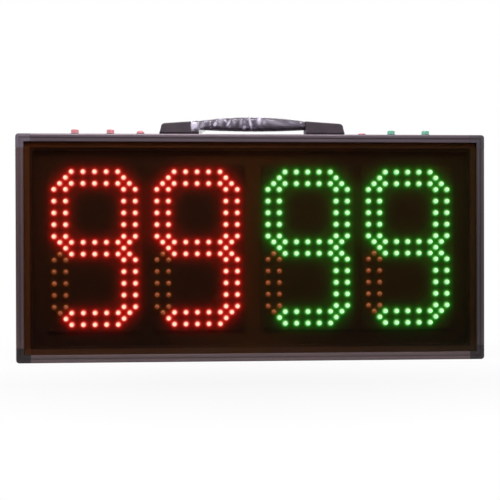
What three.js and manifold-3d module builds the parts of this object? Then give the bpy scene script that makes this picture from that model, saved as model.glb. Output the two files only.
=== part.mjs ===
// Electronic substitution board: a hand-held sign on which a match official shows two shirt numbers.
// A frame of four aluminium extrusions and four plastic corners holds a smoked window in front and a
// cover at the back. Behind the window a tray carries four digit boards of 84 lamps each. Push buttons
// and a strap handle sit on the top rail, and the control board and the battery sit behind the tray.
// Units are millimetres. X runs to the reader's right, Z up, and Y from the window to the back.
// The origin is the middle of the bottom face, halfway between front and back.

import * as THREE from "three";
import { mergeVertices } from "three/addons/utils/BufferGeometryUtils.js";
import Module from "manifold-3d";

const wasm = await Module();
wasm.setup();

// Fits shared by all pieces

const fitGap = 0.3; // between pieces that sit on, in or around each other
const overrun = 2; // how far a cutter runs past what it cuts

// Digits: 7 segments of 12 lamps, on a grid of half lamp pitches, as the photograph shows them

const lampPitchAcross = 15.08;
const lampPitchUp = 15.385;
const digitPitchesAcross = 7;
const digitPitchesUp = 13;
const lampRadius = 2.5;
const lampHeight = 6;
const lampShoulder = 3.9; // height at which the lamp starts to taper
const lampRoot = 0.6; // how deep the lamp is soldered into its board
const lampSides = 6;

// Digit boards

const digitBoardMargin = 9.2; // from the outermost lamp centres to the board's edge
const digitBoardThickness = 1.6;
const digitBoardRound = 3;
const digitBoardGap = 9.8; // between the two boards of one number
const numberGap = 22.2; // between the two numbers
const displaySideRoom = 18.1; // from the outer boards to the tray's wall
const displayTopRoom = 19; // above and below the boards
const headerWidth = 20;
const headerHeight = 8;
const headerDepth = 5.5;
const headerRise = 45; // above the boards' middle
const headerRoom = 2; // round a header where it passes through the tray

// Frame extrusions

const frameWall = 1.6;
const lipWidth = 10.3;
const lipThickness = 2;
const grooveInset = 4.6; // from the outer face to the groove in the lip
const grooveWidth = 1.8;
const grooveDepth = 0.5;
const edgeRound = 0.8;
const edgeRoundSteps = 3;
const faceRoll = 3.2; // width of the rounded outer band of the face
const faceDrop = 1.3; // how far that band falls back at the outer face
const slotPlay = 0.2; // on each face of the window
const ledgeWidth = 17.5; // the rib behind the window, from the outer face
const ledgeThickness = 1.6;
const keyRibThickness = 1.4;
const rearFlangeWidth = 14;
const rearFlangeThickness = 1.6;

// Window and rear cover

const windowThickness = 3;
const sheetInset = 2; // from the outer face to the edge of the window and of the cover
const sheetRound = 3;
const rearCoverThickness = 2.5;
const rearRim = 2.3; // how far the frame stands behind the cover

// Frame corners

const cornerPastLedge = 1.5; // how far a corner's leg runs past the ledge
const cornerRound = 4;
const cornerRoundSteps = 4;
const keyLength = 28; // how far each key reaches into an extrusion
const frontKeyThickness = 5.2;
const rearKeyThickness = 5.6;
const keyWidth = 8.3;
const cornerLeg = ledgeWidth + cornerPastLedge;

// Tray behind the digit boards

const trayInset = 20.5; // from the frame's outer face to the inside of the tray's wall
const trayThickness = 1.5;
const trayRound = 5;
const lampTipRoom = 0.6; // between the lamp tips and the window's slot
const padHeight = 0.9;
const padRadius = 3;
const padInset = 5; // from a digit board's corner to its fixing
const stakeRadius = 1.1; // the tray's pins, melted over once the boards are on
const stakeHead = 0.6; // how far a pin stands proud of its board
const roundSides = 12; // on small round pieces
const stakeSides = 6;

// Battery pack, which sets how deep the board is

const cellDiameter = 18.6;
const packHeight = 37.5;
const packLength = 70;
const packRoundShare = 0.98; // of half the cells' diameter
const clipThickness = 1;
const clipWidth = 14;
const clipFoot = 11;
const wiringRoom = 4.6; // between the battery clip and the rear cover
const packLeft = 110; // from the board's middle to the pack's middle
const packRise = 70; // above the bottom face

// Push buttons

const buttonWall = 0.65; // of the barrel, round the cap
const buttonBarrelLength = 13; // below the rail
const buttonFlangeLap = 1.05; // of the bezel, round the barrel
const buttonFlangeThickness = 1.9;
const buttonFlangeBevel = 0.5;
const buttonCapRadius = 5;
const buttonCapRound = 1.3;
const domedCapRoundShare = 0.8; // of the cap's radius
const domeHeightShare = 0.7; // of that rounding
const capRoundSteps = 3;
const capSides = 16;
const buttonCapSkirt = 4.2; // below the rail's face
const buttonTravel = 2.5;
const buttonFloorRoom = 0.9; // left under a fully pressed cap
const buttonLugWidth = 2.2;
const buttonLugThickness = 0.8;
const buttonLugLength = 4;
const nutWall = 1.05; // from a nut's bore to its flats, with the fit
const nutThickness = 2.4;
const keyCapRise = 7.6; // a number button's cap above the rail
const clearCapRise = 6.4; // the lower, domed cap
const powerCapRise = 4.7; // the on switch, latched down
const buttonClearOfHandle = 25.1; // from the handle's foot to the nearest button
const buttonSpacingInner = 39.4;
const buttonSpacingOuter = 46.5;
const buttonBarrelRadius = buttonCapRadius + fitGap + buttonWall;
const buttonFlangeRadius = buttonBarrelRadius + buttonFlangeLap;

// Handle

const capLength = 52;
const capWidth = 28;
const capInnerHeight = 18.3;
const capOuterHeight = 15;
const capRound = 6;
const capLean = 2; // how far the outer face leans in
const capEdge = 1.4; // the rounding of the cap's long edges
const capWall = 2.4;
const capSeatWall = 1.65; // of the ceiling, under the screw's head
const capScrewInset = 26; // from the inner end to the screw
const baseThickness = 1.8;
const baseInset = 0.7;
const baseBossRadius = 4.4;
const gripSpan = 141; // between the two caps
const gripEndGap = 2; // between the grip and each cap
const gripSideWall = 2.3; // beside the band at the grip's ends
const gripSwell = 1.4; // how much wider the grip is at its middle
const gripUnderMid = 6.55; // from the band's middle line to the grip's underside
const gripUnderEnd = 1.85;
const gripOverMid = 11.2; // from the band's middle line to the grip's top
const gripOverEnd = 8.75;
const gripStations = 10;
const gripSides = 16;
const gripSquareShare = 0.6; // below 1, the grip's section fills out towards a box
const bandSideRoom = 1.6; // beside the band in the caps
const bandThickness = 1.5;
const bandArch = 4.2; // how much higher the band is at its middle
const bandHeadroom = 3; // from the band's middle line to the cap's ceiling
const bandFlatEnd = 18.5; // the flat end of the band, inwards of its tip
const bandTipPast = 10; // the band's end beyond the screw
const bandSlotPlay = 2; // how far the band slides on its screw, each way
const bandStations = 10;
const mouthBelow = 1.6; // room under and over the band where it enters the cap
const mouthAbove = 3;
const filmThickness = 0.35;
const filmEndInset = 0.5;
const handleScrewRadius = 2.5;
const handleScrewHeadRadius = 4.2;
const handleScrewHeadHeight = 2.4;
const handleScrewSink = 3.4; // the head's seat below the cap's top
const handleScrewLength = 21;
const anchorLength = 40;
const anchorWidth = 12;
const anchorThickness = 3;
const capSlope = (capInnerHeight - capOuterHeight) / capLength;
const screwSink = capInnerHeight - capSlope * capScrewInset - handleScrewSink; // its seat above the rail
const capCeiling = screwSink - capSeatWall;
const bandEndRise = capCeiling - bandHeadroom;
const bandMidRise = bandEndRise + bandArch;
const bandWidth = capWidth - 2 * (capWall + bandSideRoom);
const gripEndWidth = bandWidth + 2 * gripSideWall;
const gripWidth = gripEndWidth + gripSwell;

// Rear cover screws

const coverScrewRadius = 1.5;
const coverScrewBite = 4; // in the corner's key
const coverScrewHeadRadius = 2.8;
const coverScrewHeadHeight = 1.7;
const coverScrewInset = 6; // from the frame's outer face
const coverScrewAlongKey = 12; // from the corner's leg along its key
const coverScrewLength = rearCoverThickness + rearFlangeThickness + 3 * fitGap + coverScrewBite;

// Charging socket

const socketRight = 200; // from the board's middle
const socketRise = 60; // above the bottom face
const socketBarrelRadius = 5.7;
const socketBarrelLength = 15;
const socketFlangeRadius = 7.5;
const socketFlangeThickness = 1.7;
const socketBoreRadius = 3.25;
const socketBoreDepth = 10;

// Control board

const controlWidth = 120;
const controlHeight = 70;
const controlThickness = 1.6;
const controlStandoff = 5;
const controlDrop = 1; // its top edge below the ribbon
const controlHeaderInset = 2; // from its top edge to its header
const standoffRadius = 3;
const standoffInset = 5;
const plugWidth = 9;
const plugHeight = 6;
const plugDepth = 6;
const plugRoom = 3; // between the button plug and the ribbon's plug
const chipSize = 13;
const chipThickness = 2;
const capacitorRadius = 4;
const capacitorHeight = 9;

// Wiring

const leadRadius = 1.8;
const leadSides = 6;
const leadSteps = 12;
const socketLugLength = 2 * leadRadius + fitGap; // room for the lead beside the lugs
const trunkRadius = 2.2;
const trunkDrop = 4; // the harness's middle below the button lugs
const riserRadius = 1.2;
const ribbonWidth = 12;
const ribbonThickness = 0.9;
const ribbonPlugWidth = 22;
const ribbonPlugDepth = 5;
const ribbonStations = 6;

// Sizes that follow from the ones above

const digitBoardWidth = digitPitchesAcross * lampPitchAcross + 2 * digitBoardMargin;
const digitBoardHeight = digitPitchesUp * lampPitchUp + 2 * digitBoardMargin;
const boardWidth = numberGap + 4 * digitBoardWidth + 2 * (digitBoardGap + displaySideRoom + trayInset);
const boardHeight = digitBoardHeight + 2 * (displayTopRoom + trayInset);
const middleHeight = boardHeight / 2;

// Depths, measured from the front face

const windowFront = lipThickness + slotPlay;
const ledgeFront = windowFront + windowThickness + slotPlay;
const ledgeBack = ledgeFront + ledgeThickness;
const digitFront = ledgeFront + lampTipRoom + lampHeight;
const digitBack = digitFront + digitBoardThickness;
const trayRimFront = ledgeBack + fitGap;
const trayFloorFront = digitBack + fitGap + padHeight;
const trayBack = trayFloorFront + trayThickness;
const packFront = trayBack + fitGap;
const packBack = packFront + cellDiameter;
const clipBack = packBack + fitGap + clipThickness;
const coverFront = clipBack + wiringRoom;
const coverBack = coverFront + rearCoverThickness;
const boardDepth = coverBack + rearRim;
const rearFlangeBack = coverFront - fitGap;
const rearFlangeFront = rearFlangeBack - rearFlangeThickness;
const rearKeyBack = rearFlangeFront - fitGap;
const rearKeyFront = rearKeyBack - rearKeyThickness;
const keyRibBack = rearKeyFront - fitGap;
const keyRibFront = keyRibBack - keyRibThickness;
const railMiddle = boardDepth / 2;
const controlFront = controlStandoff + fitGap; // behind the tray's back
const controlBack = controlFront + controlThickness;

// Solids: three.js shapes go to manifold-3d for cuts and joins, and come back

const UP = new THREE.Matrix4().makeBasis(
  new THREE.Vector3(1, 0, 0),
  new THREE.Vector3(0, 0, 1),
  new THREE.Vector3(0, -1, 0)
); // turns three.js's Y-up shapes to Z-up
const ALONG_X = new THREE.Matrix4().makeBasis(
  new THREE.Vector3(0, 1, 0),
  new THREE.Vector3(0, 0, 1),
  new THREE.Vector3(1, 0, 0)
); // turns an extrusion to run along X, with its outline in Y and Z

function toSolid(geometry) {
  const bare = new THREE.BufferGeometry();
  bare.setAttribute("position", geometry.getAttribute("position"));
  bare.setIndex(geometry.index);
  const merged = mergeVertices(bare);
  return new wasm.Manifold(
    new wasm.Mesh({
      numProp: 3,
      vertProperties: new Float32Array(merged.attributes.position.array),
      triVerts: new Uint32Array(merged.index.array),
    })
  );
}

function toGeometry(solid) {
  const mesh = solid.getMesh();
  const stride = mesh.numProp;
  const positions = new Float32Array(mesh.numVert * 3);
  for (let i = 0; i < mesh.numVert; i++) {
    positions.set(mesh.vertProperties.subarray(i * stride, i * stride + 3), i * 3);
  }
  const indexed = new THREE.BufferGeometry();
  indexed.setAttribute("position", new THREE.BufferAttribute(positions, 3));
  indexed.setIndex(new THREE.BufferAttribute(new Uint32Array(mesh.triVerts), 1));
  const flat = indexed.toNonIndexed();
  flat.computeVertexNormals();
  return flat;
}

function join(...solids) {
  return wasm.Manifold.union(solids);
}

function cut(solid, ...cutters) {
  return solid.subtract(wasm.Manifold.union(cutters));
}

// A box from its lowest to its highest corner.
function block(low, high) {
  const size = high.map((value, i) => value - low[i]);
  const box = new THREE.BoxGeometry(...size);
  box.translate(...low.map((value, i) => value + size[i] / 2));
  return toSolid(box);
}

// A round bar standing up from z low to z high.
function post(radius, low, high, x = 0, y = 0, sides = roundSides) {
  const bar = new THREE.CylinderGeometry(radius, radius, high - low, sides);
  bar.applyMatrix4(UP);
  bar.translate(x, y, (low + high) / 2);
  return toSolid(bar);
}

// A round bar lying from front to back.
function pin(radius, front, back, x = 0, z = 0, sides = roundSides) {
  const bar = new THREE.CylinderGeometry(radius, radius, back - front, sides);
  bar.translate(x, (front + back) / 2, z);
  return toSolid(bar);
}

function roundedRectangle(width, height, radius, steps = cornerRoundSteps) {
  const outline = new THREE.Shape();
  const turns = [
    [width / 2 - radius, -height / 2 + radius, -Math.PI / 2],
    [width / 2 - radius, height / 2 - radius, 0],
    [-width / 2 + radius, height / 2 - radius, Math.PI / 2],
    [-width / 2 + radius, -height / 2 + radius, Math.PI],
  ];
  const points = [];
  for (const [x, y, start] of turns) {
    for (let i = 0; i <= steps; i++) {
      const angle = start + ((Math.PI / 2) * i) / steps;
      points.push(new THREE.Vector2(x + radius * Math.cos(angle), y + radius * Math.sin(angle)));
    }
  }
  outline.setFromPoints(points);
  return outline;
}

// A flat plate whose outline faces the reader, from one depth to another.
function plate(outline, front, back) {
  const sheet = new THREE.ExtrudeGeometry(outline, { depth: back - front, bevelEnabled: false });
  sheet.applyMatrix4(UP);
  sheet.translate(0, back, 0);
  return toSolid(sheet);
}

// An outline of depth and height, drawn out along X.
function drawnAlongX(outline, left, right) {
  const bar = new THREE.ExtrudeGeometry(outline, { depth: right - left, bevelEnabled: false });
  bar.applyMatrix4(ALONG_X);
  bar.translate(left, 0, 0);
  return toSolid(bar);
}

// A round wire along a smooth curve through the points.
function wire(points, radius) {
  const curve = new THREE.CatmullRomCurve3(points.map((point) => new THREE.Vector3(...point)));
  const section = new THREE.Shape();
  const ring = [];
  for (let i = 0; i < leadSides; i++) {
    const angle = (2 * Math.PI * i) / leadSides;
    ring.push(new THREE.Vector2(radius * Math.cos(angle), radius * Math.sin(angle)));
  }
  section.setFromPoints(ring);
  const tube = { extrudePath: curve, steps: leadSteps, bevelEnabled: false };
  return toSolid(new THREE.ExtrudeGeometry(section, tube));
}

// Frame: every extrusion has one section, drawn here from the outer face inwards

function quarterRound(centreDepth, centreInward, startAngle, deep = edgeRound, wide = edgeRound) {
  const points = [];
  for (let i = 0; i <= edgeRoundSteps; i++) {
    const angle = startAngle + ((Math.PI / 2) * i) / edgeRoundSteps;
    points.push([centreDepth + deep * Math.cos(angle), centreInward + wide * Math.sin(angle)]);
  }
  return points;
}

const keyRibWidth = frameWall + fitGap + keyWidth + fitGap;

function frameSection() {
  const grooveEnd = grooveInset + grooveWidth;
  const points = [
    ...quarterRound(faceDrop, faceRoll, Math.PI, faceDrop, faceRoll),
    ...quarterRound(boardDepth - edgeRound, edgeRound, -Math.PI / 2),
    [boardDepth, frameWall],
    [rearFlangeBack, frameWall],
    [rearFlangeBack, rearFlangeWidth],
    [rearFlangeFront, rearFlangeWidth],
    [rearFlangeFront, frameWall],
    [keyRibBack, frameWall],
    [keyRibBack, keyRibWidth],
    [keyRibFront, keyRibWidth],
    [keyRibFront, frameWall],
    [ledgeBack, frameWall],
    [ledgeBack, ledgeWidth],
    [ledgeFront, ledgeWidth],
    [ledgeFront, frameWall],
    [lipThickness, frameWall],
    [lipThickness, lipWidth],
    ...quarterRound(edgeRound, lipWidth - edgeRound, Math.PI / 2),
    [0, grooveEnd],
    [grooveDepth, grooveEnd],
    [grooveDepth, grooveInset],
    [0, grooveInset],
  ];
  return new THREE.Shape(points.map(([depth, inward]) => new THREE.Vector2(depth, inward)));
}

const railLength = boardWidth - 2 * (cornerLeg + fitGap);
const stileLength = boardHeight - 2 * (cornerLeg + fitGap);
const coverScrewX = boardWidth / 2 - cornerLeg - coverScrewAlongKey;
const coverScrewHole = coverScrewRadius + fitGap;

function extrusion(length) {
  return drawnAlongX(frameSection(), -length / 2, length / 2);
}

function coverScrewHoles(places, inward) {
  return places.map((x) => pin(coverScrewHole, rearKeyBack - fitGap, coverBack + overrun, x, inward));
}

function bottomRail() {
  return cut(extrusion(railLength), ...coverScrewHoles([-coverScrewX, 0, coverScrewX], coverScrewInset));
}

// Corners: an L-shaped plastic casting with two keys that slide into each neighbouring extrusion

function cornerLayer(width, front, back) {
  const outline = new THREE.Shape([
    new THREE.Vector2(0, 0),
    new THREE.Vector2(cornerLeg, 0),
    new THREE.Vector2(cornerLeg, width),
    new THREE.Vector2(width, width),
    new THREE.Vector2(width, cornerLeg),
    new THREE.Vector2(0, cornerLeg),
  ]);
  return plate(outline, front, back);
}

// A block with rounded edges, between two depths. Each rounding is as deep and as wide as given.
function roundedBlock(front, back, deep, wide) {
  const reach = cornerLeg + keyLength;
  const side = 2 * (reach + cornerRound);
  const outline = roundedRectangle(side, side, cornerRound);
  const blank = new THREE.ExtrudeGeometry(outline, {
    depth: back - front - 2 * deep,
    bevelEnabled: true,
    bevelThickness: deep,
    bevelSize: wide,
    bevelOffset: -wide,
    bevelSegments: edgeRoundSteps,
  });
  blank.applyMatrix4(UP);
  blank.translate(side / 2, back - deep, side / 2);
  return toSolid(blank);
}

// The frame's outside at a corner, with the face's rounded band in front.
function roundedBlank() {
  const forFace = roundedBlock(0, boardDepth + faceDrop + overrun, faceDrop, faceRoll);
  const forBack = roundedBlock(-edgeRound - overrun, boardDepth, edgeRound, edgeRound);
  return forFace.intersect(forBack);
}

// The keys of one leg run along X; the other leg's are the same keys with X and Z exchanged.
function cornerKeys(swap) {
  const inner = frameWall + fitGap;
  const outer = inner + keyWidth;
  const spans = [
    [ledgeBack + fitGap, ledgeBack + fitGap + frontKeyThickness],
    [rearKeyFront, rearKeyBack],
  ];
  return spans.map(([front, back]) => {
    const low = [frameWall / 2, front, inner];
    const high = [cornerLeg + keyLength, back, outer];
    return swap ? block([low[2], low[1], low[0]], [high[2], high[1], high[0]]) : block(low, high);
  });
}

function corner(screwLegIsUpright) {
  const layers = [
    cornerLayer(lipWidth, 0, lipThickness),
    cornerLayer(frameWall, 0, boardDepth),
    cornerLayer(ledgeWidth, ledgeFront, ledgeBack),
    cornerLayer(rearFlangeWidth, rearFlangeFront, rearFlangeBack),
  ];
  const bend = block([0, 0, 0], [cornerRound, boardDepth, cornerRound]).subtract(
    pin(cornerRound - frameWall, -overrun, boardDepth + overrun, cornerRound, cornerRound)
  );
  const body = join(...layers, bend, ...cornerKeys(false), ...cornerKeys(true));
  const along = cornerLeg + coverScrewAlongKey;
  const hole = screwLegIsUpright
    ? pin(coverScrewHole, rearKeyFront - overrun, coverBack + overrun, coverScrewInset, along)
    : pin(coverScrewHole, rearKeyFront - overrun, coverBack + overrun, along, coverScrewInset);
  const grooveEnd = grooveInset + grooveWidth;
  const groove = cornerLayer(grooveEnd, -overrun, grooveDepth).subtract(
    cornerLayer(grooveInset, -2 * overrun, grooveDepth + overrun)
  );
  return cut(body.intersect(roundedBlank()), hole, groove);
}

// Buttons

const handleHalf = gripSpan / 2 + capLength;
const functionX = handleHalf + buttonClearOfHandle;
const innerKeyX = functionX + buttonSpacingInner;
const outerKeyX = innerKeyX + buttonSpacingOuter;

const buttons = [
  { name: "out_tens_button", x: -outerKeyX, rise: keyCapRise, colour: "red", domed: false },
  { name: "out_units_button", x: -innerKeyX, rise: keyCapRise, colour: "red", domed: false },
  { name: "clear_button", x: -functionX, rise: clearCapRise, colour: "red", domed: true },
  { name: "power_button", x: functionX, rise: powerCapRise, colour: "red", domed: true },
  { name: "in_tens_button", x: innerKeyX, rise: keyCapRise, colour: "green", domed: false },
  { name: "in_units_button", x: outerKeyX, rise: keyCapRise, colour: "green", domed: false },
];

const buttonBoreRadius = buttonCapRadius + fitGap;
const buttonHoleRadius = buttonBarrelRadius + fitGap;

// The corner radius of a hexagonal nut on a barrel.
function nutRadius(barrelRadius) {
  return (barrelRadius + nutWall) / Math.cos(Math.PI / 6);
}

function buttonCap(rise, domed) {
  const round = domed ? buttonCapRadius * domedCapRoundShare : buttonCapRound;
  const profile = [
    new THREE.Vector2(0, -buttonCapSkirt),
    new THREE.Vector2(buttonCapRadius, -buttonCapSkirt),
  ];
  for (let i = 0; i <= capRoundSteps; i++) {
    const angle = ((Math.PI / 2) * i) / capRoundSteps;
    const across = buttonCapRadius - round + round * Math.cos(angle);
    const roundHeight = domed ? round * domeHeightShare : round;
    profile.push(new THREE.Vector2(across, rise - roundHeight + roundHeight * Math.sin(angle)));
  }
  profile.push(new THREE.Vector2(0, rise));
  const cap = new THREE.LatheGeometry(profile, capSides);
  cap.applyMatrix4(UP);
  return toSolid(cap);
}

function buttonBody() {
  const flange = new THREE.LatheGeometry(
    [
      new THREE.Vector2(0, fitGap),
      new THREE.Vector2(buttonFlangeRadius, fitGap),
      new THREE.Vector2(buttonFlangeRadius, buttonFlangeThickness + fitGap - buttonFlangeBevel),
      new THREE.Vector2(buttonFlangeRadius - buttonFlangeBevel, buttonFlangeThickness + fitGap),
      new THREE.Vector2(0, buttonFlangeThickness + fitGap),
    ],
    capSides
  );
  flange.applyMatrix4(UP);
  const floor = -(frameWall + buttonBarrelLength);
  const boreFloor = -(buttonCapSkirt + buttonTravel + buttonFloorRoom);
  const lugs = [-1, 1].map((side) => {
    const middle = (side * buttonBarrelRadius) / 2;
    return block(
      [middle - buttonLugWidth / 2, -buttonLugThickness / 2, floor - buttonLugLength],
      [middle + buttonLugWidth / 2, buttonLugThickness / 2, floor + buttonLugThickness]
    );
  });
  const outside = join(toSolid(flange), post(buttonBarrelRadius, floor, buttonFlangeThickness / 2), ...lugs);
  return cut(outside, post(buttonBoreRadius, boreFloor, buttonFlangeThickness + overrun));
}

function buttonNut() {
  const top = -(frameWall + fitGap);
  const hexagon = post(nutRadius(buttonBarrelRadius), top - nutThickness, top, 0, 0, 6);
  return cut(hexagon, post(buttonHoleRadius, top - nutThickness - overrun, top + overrun));
}

// Handle: x runs outwards from the board's middle and z up from the rail; the left end is turned round

const screwX = gripSpan / 2 + capScrewInset;
const screwHoleRadius = handleScrewRadius + fitGap;
const bandTipX = screwX + bandTipPast;
const bandBendX = bandTipX - bandFlatEnd;

function bandRise(x) {
  const share = Math.min(Math.abs(x) / bandBendX, 1);
  return bandMidRise + (bandEndRise - bandMidRise) * share * share;
}

function handleCap() {
  const inner = gripSpan / 2;
  const foot = baseThickness + fitGap;
  const outline = new THREE.Shape();
  outline.moveTo(inner, foot);
  outline.lineTo(inner + capLength, foot);
  outline.lineTo(inner + capLength - capLean, capOuterHeight - capRound);
  outline.quadraticCurveTo(
    inner + capLength - capLean,
    capOuterHeight,
    inner + capLength - capLean - capRound,
    capOuterHeight + capSlope * capRound
  );
  outline.lineTo(inner, capInnerHeight);
  outline.closePath();
  const shell = new THREE.ExtrudeGeometry(outline, {
    depth: capWidth - 2 * capEdge,
    curveSegments: cornerRoundSteps,
    bevelEnabled: true,
    bevelThickness: capEdge,
    bevelSize: capEdge,
    bevelOffset: -capEdge,
    bevelSegments: edgeRoundSteps,
  });
  shell.applyMatrix4(UP);
  shell.translate(0, capWidth / 2 - capEdge, 0);
  const halfRoom = capWidth / 2 - capWall;
  const room = block(
    [inner + capWall, -halfRoom, 0],
    [inner + capLength - capLean - capWall, halfRoom, capCeiling]
  );
  const pillarFoot = bandEndRise + bandThickness / 2 + fitGap;
  const pillar = post(baseBossRadius, pillarFoot, capCeiling + overrun, screwX);
  const mouth = block(
    [inner - overrun, -bandWidth / 2 - fitGap, bandRise(inner) - bandThickness / 2 - mouthBelow],
    [inner + capWall + overrun, bandWidth / 2 + fitGap, bandRise(inner) + bandThickness / 2 + mouthAbove]
  );
  const sink = post(handleScrewHeadRadius + fitGap, screwSink, capInnerHeight + overrun, screwX);
  const hole = post(screwHoleRadius, 0, capInnerHeight + overrun, screwX);
  return cut(toSolid(shell).subtract(room).add(pillar), mouth, sink, hole);
}

function handleBase() {
  const inner = gripSpan / 2 + baseInset;
  const outer = gripSpan / 2 + capLength - baseInset;
  const halfWidth = capWidth / 2 - baseInset;
  const pad = block([inner, -halfWidth, fitGap], [outer, halfWidth, baseThickness]);
  const bossTop = bandEndRise - bandThickness / 2 - fitGap;
  const boss = post(baseBossRadius, baseThickness / 2, bossTop, screwX);
  return cut(pad.add(boss), post(screwHoleRadius, -overrun, bossTop + overrun, screwX));
}

// Places along the band, evenly spaced over the arch, with one more at each tip.
function bandStationsX() {
  const places = [-bandTipX];
  for (let i = 0; i <= bandStations; i++) {
    places.push(-bandBendX + (2 * bandBendX * i) / bandStations);
  }
  places.push(bandTipX);
  return places;
}

function bandStrip(width, thickness, reachPast) {
  const places = bandStationsX();
  places[0] -= reachPast;
  places[places.length - 1] += reachPast;
  const lower = places.map((x) => new THREE.Vector2(x, bandRise(x) - thickness / 2));
  const upper = places.map((x) => new THREE.Vector2(x, bandRise(x) + thickness / 2)).reverse();
  return plate(new THREE.Shape([...lower, ...upper]), -width / 2, width / 2);
}

function handleBand() {
  const slots = [-screwX, screwX].flatMap((x) => [
    block(
      [x - bandSlotPlay, -screwHoleRadius, bandEndRise - bandThickness],
      [x + bandSlotPlay, screwHoleRadius, bandEndRise + bandThickness]
    ),
    post(screwHoleRadius, bandEndRise - bandThickness, bandEndRise + bandThickness, x - bandSlotPlay),
    post(screwHoleRadius, bandEndRise - bandThickness, bandEndRise + bandThickness, x + bandSlotPlay),
  ]);
  return cut(bandStrip(bandWidth, bandThickness, 0), ...slots);
}

const gripHalf = gripSpan / 2 - gripEndGap;

// The grip's skin grown by an offset: rounded sections from end to end, closed by flat ends.
function gripSkin(offset, halfLength) {
  const positions = [];
  for (let station = 0; station <= gripStations; station++) {
    const x = halfLength * ((2 * station) / gripStations - 1);
    const share = (x / gripHalf) ** 2;
    const bottom = bandRise(x) - gripUnderMid + (gripUnderMid - gripUnderEnd) * share - offset;
    const top = bandRise(x) + gripOverMid + (gripOverEnd - gripOverMid) * share + offset;
    const halfWidth = (gripWidth + (gripEndWidth - gripWidth) * share) / 2 + offset;
    for (let side = 0; side < gripSides; side++) {
      const angle = (2 * Math.PI * side) / gripSides;
      const across = Math.sign(Math.cos(angle)) * Math.abs(Math.cos(angle)) ** gripSquareShare;
      const up = Math.sign(Math.sin(angle)) * Math.abs(Math.sin(angle)) ** gripSquareShare;
      positions.push(x, halfWidth * across, (top + bottom) / 2 + ((top - bottom) / 2) * up);
    }
  }
  const last = gripStations * gripSides;
  const index = [];
  for (let station = 0; station < gripStations; station++) {
    for (let side = 0; side < gripSides; side++) {
      const next = (side + 1) % gripSides;
      const a = station * gripSides + side;
      const b = station * gripSides + next;
      index.push(a, b, a + gripSides, b, b + gripSides, a + gripSides);
    }
  }
  for (let side = 1; side < gripSides - 1; side++) {
    index.push(0, side + 1, side, last, last + side, last + side + 1);
  }
  const skin = new THREE.BufferGeometry();
  skin.setAttribute("position", new THREE.BufferAttribute(new Float32Array(positions), 3));
  skin.setIndex(index);
  return toSolid(skin);
}

function handleGrip() {
  const channel = bandStrip(bandWidth + 2 * fitGap, bandThickness + 2 * fitGap, overrun);
  return gripSkin(0, gripHalf).subtract(channel);
}

function gripFilm() {
  const half = gripHalf - filmEndInset;
  const core = gripSkin(fitGap, gripHalf + overrun);
  return gripSkin(fitGap + filmThickness, half).subtract(core);
}

const screwSeat = screwSink + fitGap;

function handleScrew() {
  const head = post(handleScrewHeadRadius, screwSeat, screwSeat + handleScrewHeadHeight, screwX);
  const shankTop = screwSeat + handleScrewHeadHeight / 2;
  const shank = post(handleScrewRadius, screwSeat - handleScrewLength, shankTop, screwX);
  return head.add(shank);
}

// The threaded plate that the screw pulls up against the inside of the rail.
function handleAnchor() {
  const top = -(frameWall + fitGap);
  const bar = block(
    [screwX - anchorLength / 2, -anchorWidth / 2, top - anchorThickness],
    [screwX + anchorLength / 2, anchorWidth / 2, top]
  );
  return cut(bar, post(screwHoleRadius, top - anchorThickness - overrun, top + overrun, screwX));
}

// Top rail: the bottom rail's section with holes for the buttons and the handle, in the rail's own frame

function topRail() {
  const openings = [];
  for (const button of buttons) {
    openings.push(post(buttonHoleRadius, -overrun, frameWall + overrun, -button.x, railMiddle));
    const pocketEnd = frameWall + buttonBarrelLength + buttonLugLength;
    openings.push(post(nutRadius(buttonBarrelRadius) + fitGap, frameWall, pocketEnd, -button.x, railMiddle));
  }
  for (const side of [-1, 1]) {
    openings.push(post(screwHoleRadius, -overrun, frameWall + overrun, side * screwX, railMiddle));
    const halfLength = anchorLength / 2 + fitGap;
    const halfWidth = anchorWidth / 2 + fitGap;
    openings.push(
      block(
        [side * screwX - halfLength, railMiddle - halfWidth, frameWall],
        [side * screwX + halfLength, railMiddle + halfWidth, frameWall + fitGap + anchorThickness + overrun]
      )
    );
  }
  return cut(bottomRail(), ...openings);
}

// Tray

const trayWidth = boardWidth - 2 * trayInset;
const trayHeight = boardHeight - 2 * trayInset;
const trayRimWidth = trayInset - keyRibWidth;
const digitX = [
  -(numberGap / 2 + digitBoardWidth + digitBoardGap + digitBoardWidth / 2),
  -(numberGap / 2 + digitBoardWidth / 2),
  numberGap / 2 + digitBoardWidth / 2,
  numberGap / 2 + digitBoardWidth + digitBoardGap + digitBoardWidth / 2,
];
const fixingAcross = digitBoardWidth / 2 - padInset;
const fixingUp = digitBoardHeight / 2 - padInset;
const fixings = [-1, 1].flatMap((across) => [-1, 1].map((up) => [across * fixingAcross, up * fixingUp]));
const controlZ = headerRise - ribbonWidth / 2 - controlDrop - controlHeight / 2;
const controlHeaderZ = controlHeight / 2 - controlHeaderInset - headerHeight / 2; // above its middle
const standoffs = [-1, 1].flatMap((across) =>
  [-1, 1].map((up) => [
    across * (controlWidth / 2 - standoffInset),
    controlZ + up * (controlHeight / 2 - standoffInset),
  ])
);

function ring(innerWidth, innerHeight, radius, width, front, back) {
  const outer = roundedRectangle(innerWidth + 2 * width, innerHeight + 2 * width, radius + width);
  const inner = roundedRectangle(innerWidth, innerHeight, radius);
  return plate(outer, front, back).subtract(plate(inner, front - overrun, back + overrun));
}

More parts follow.
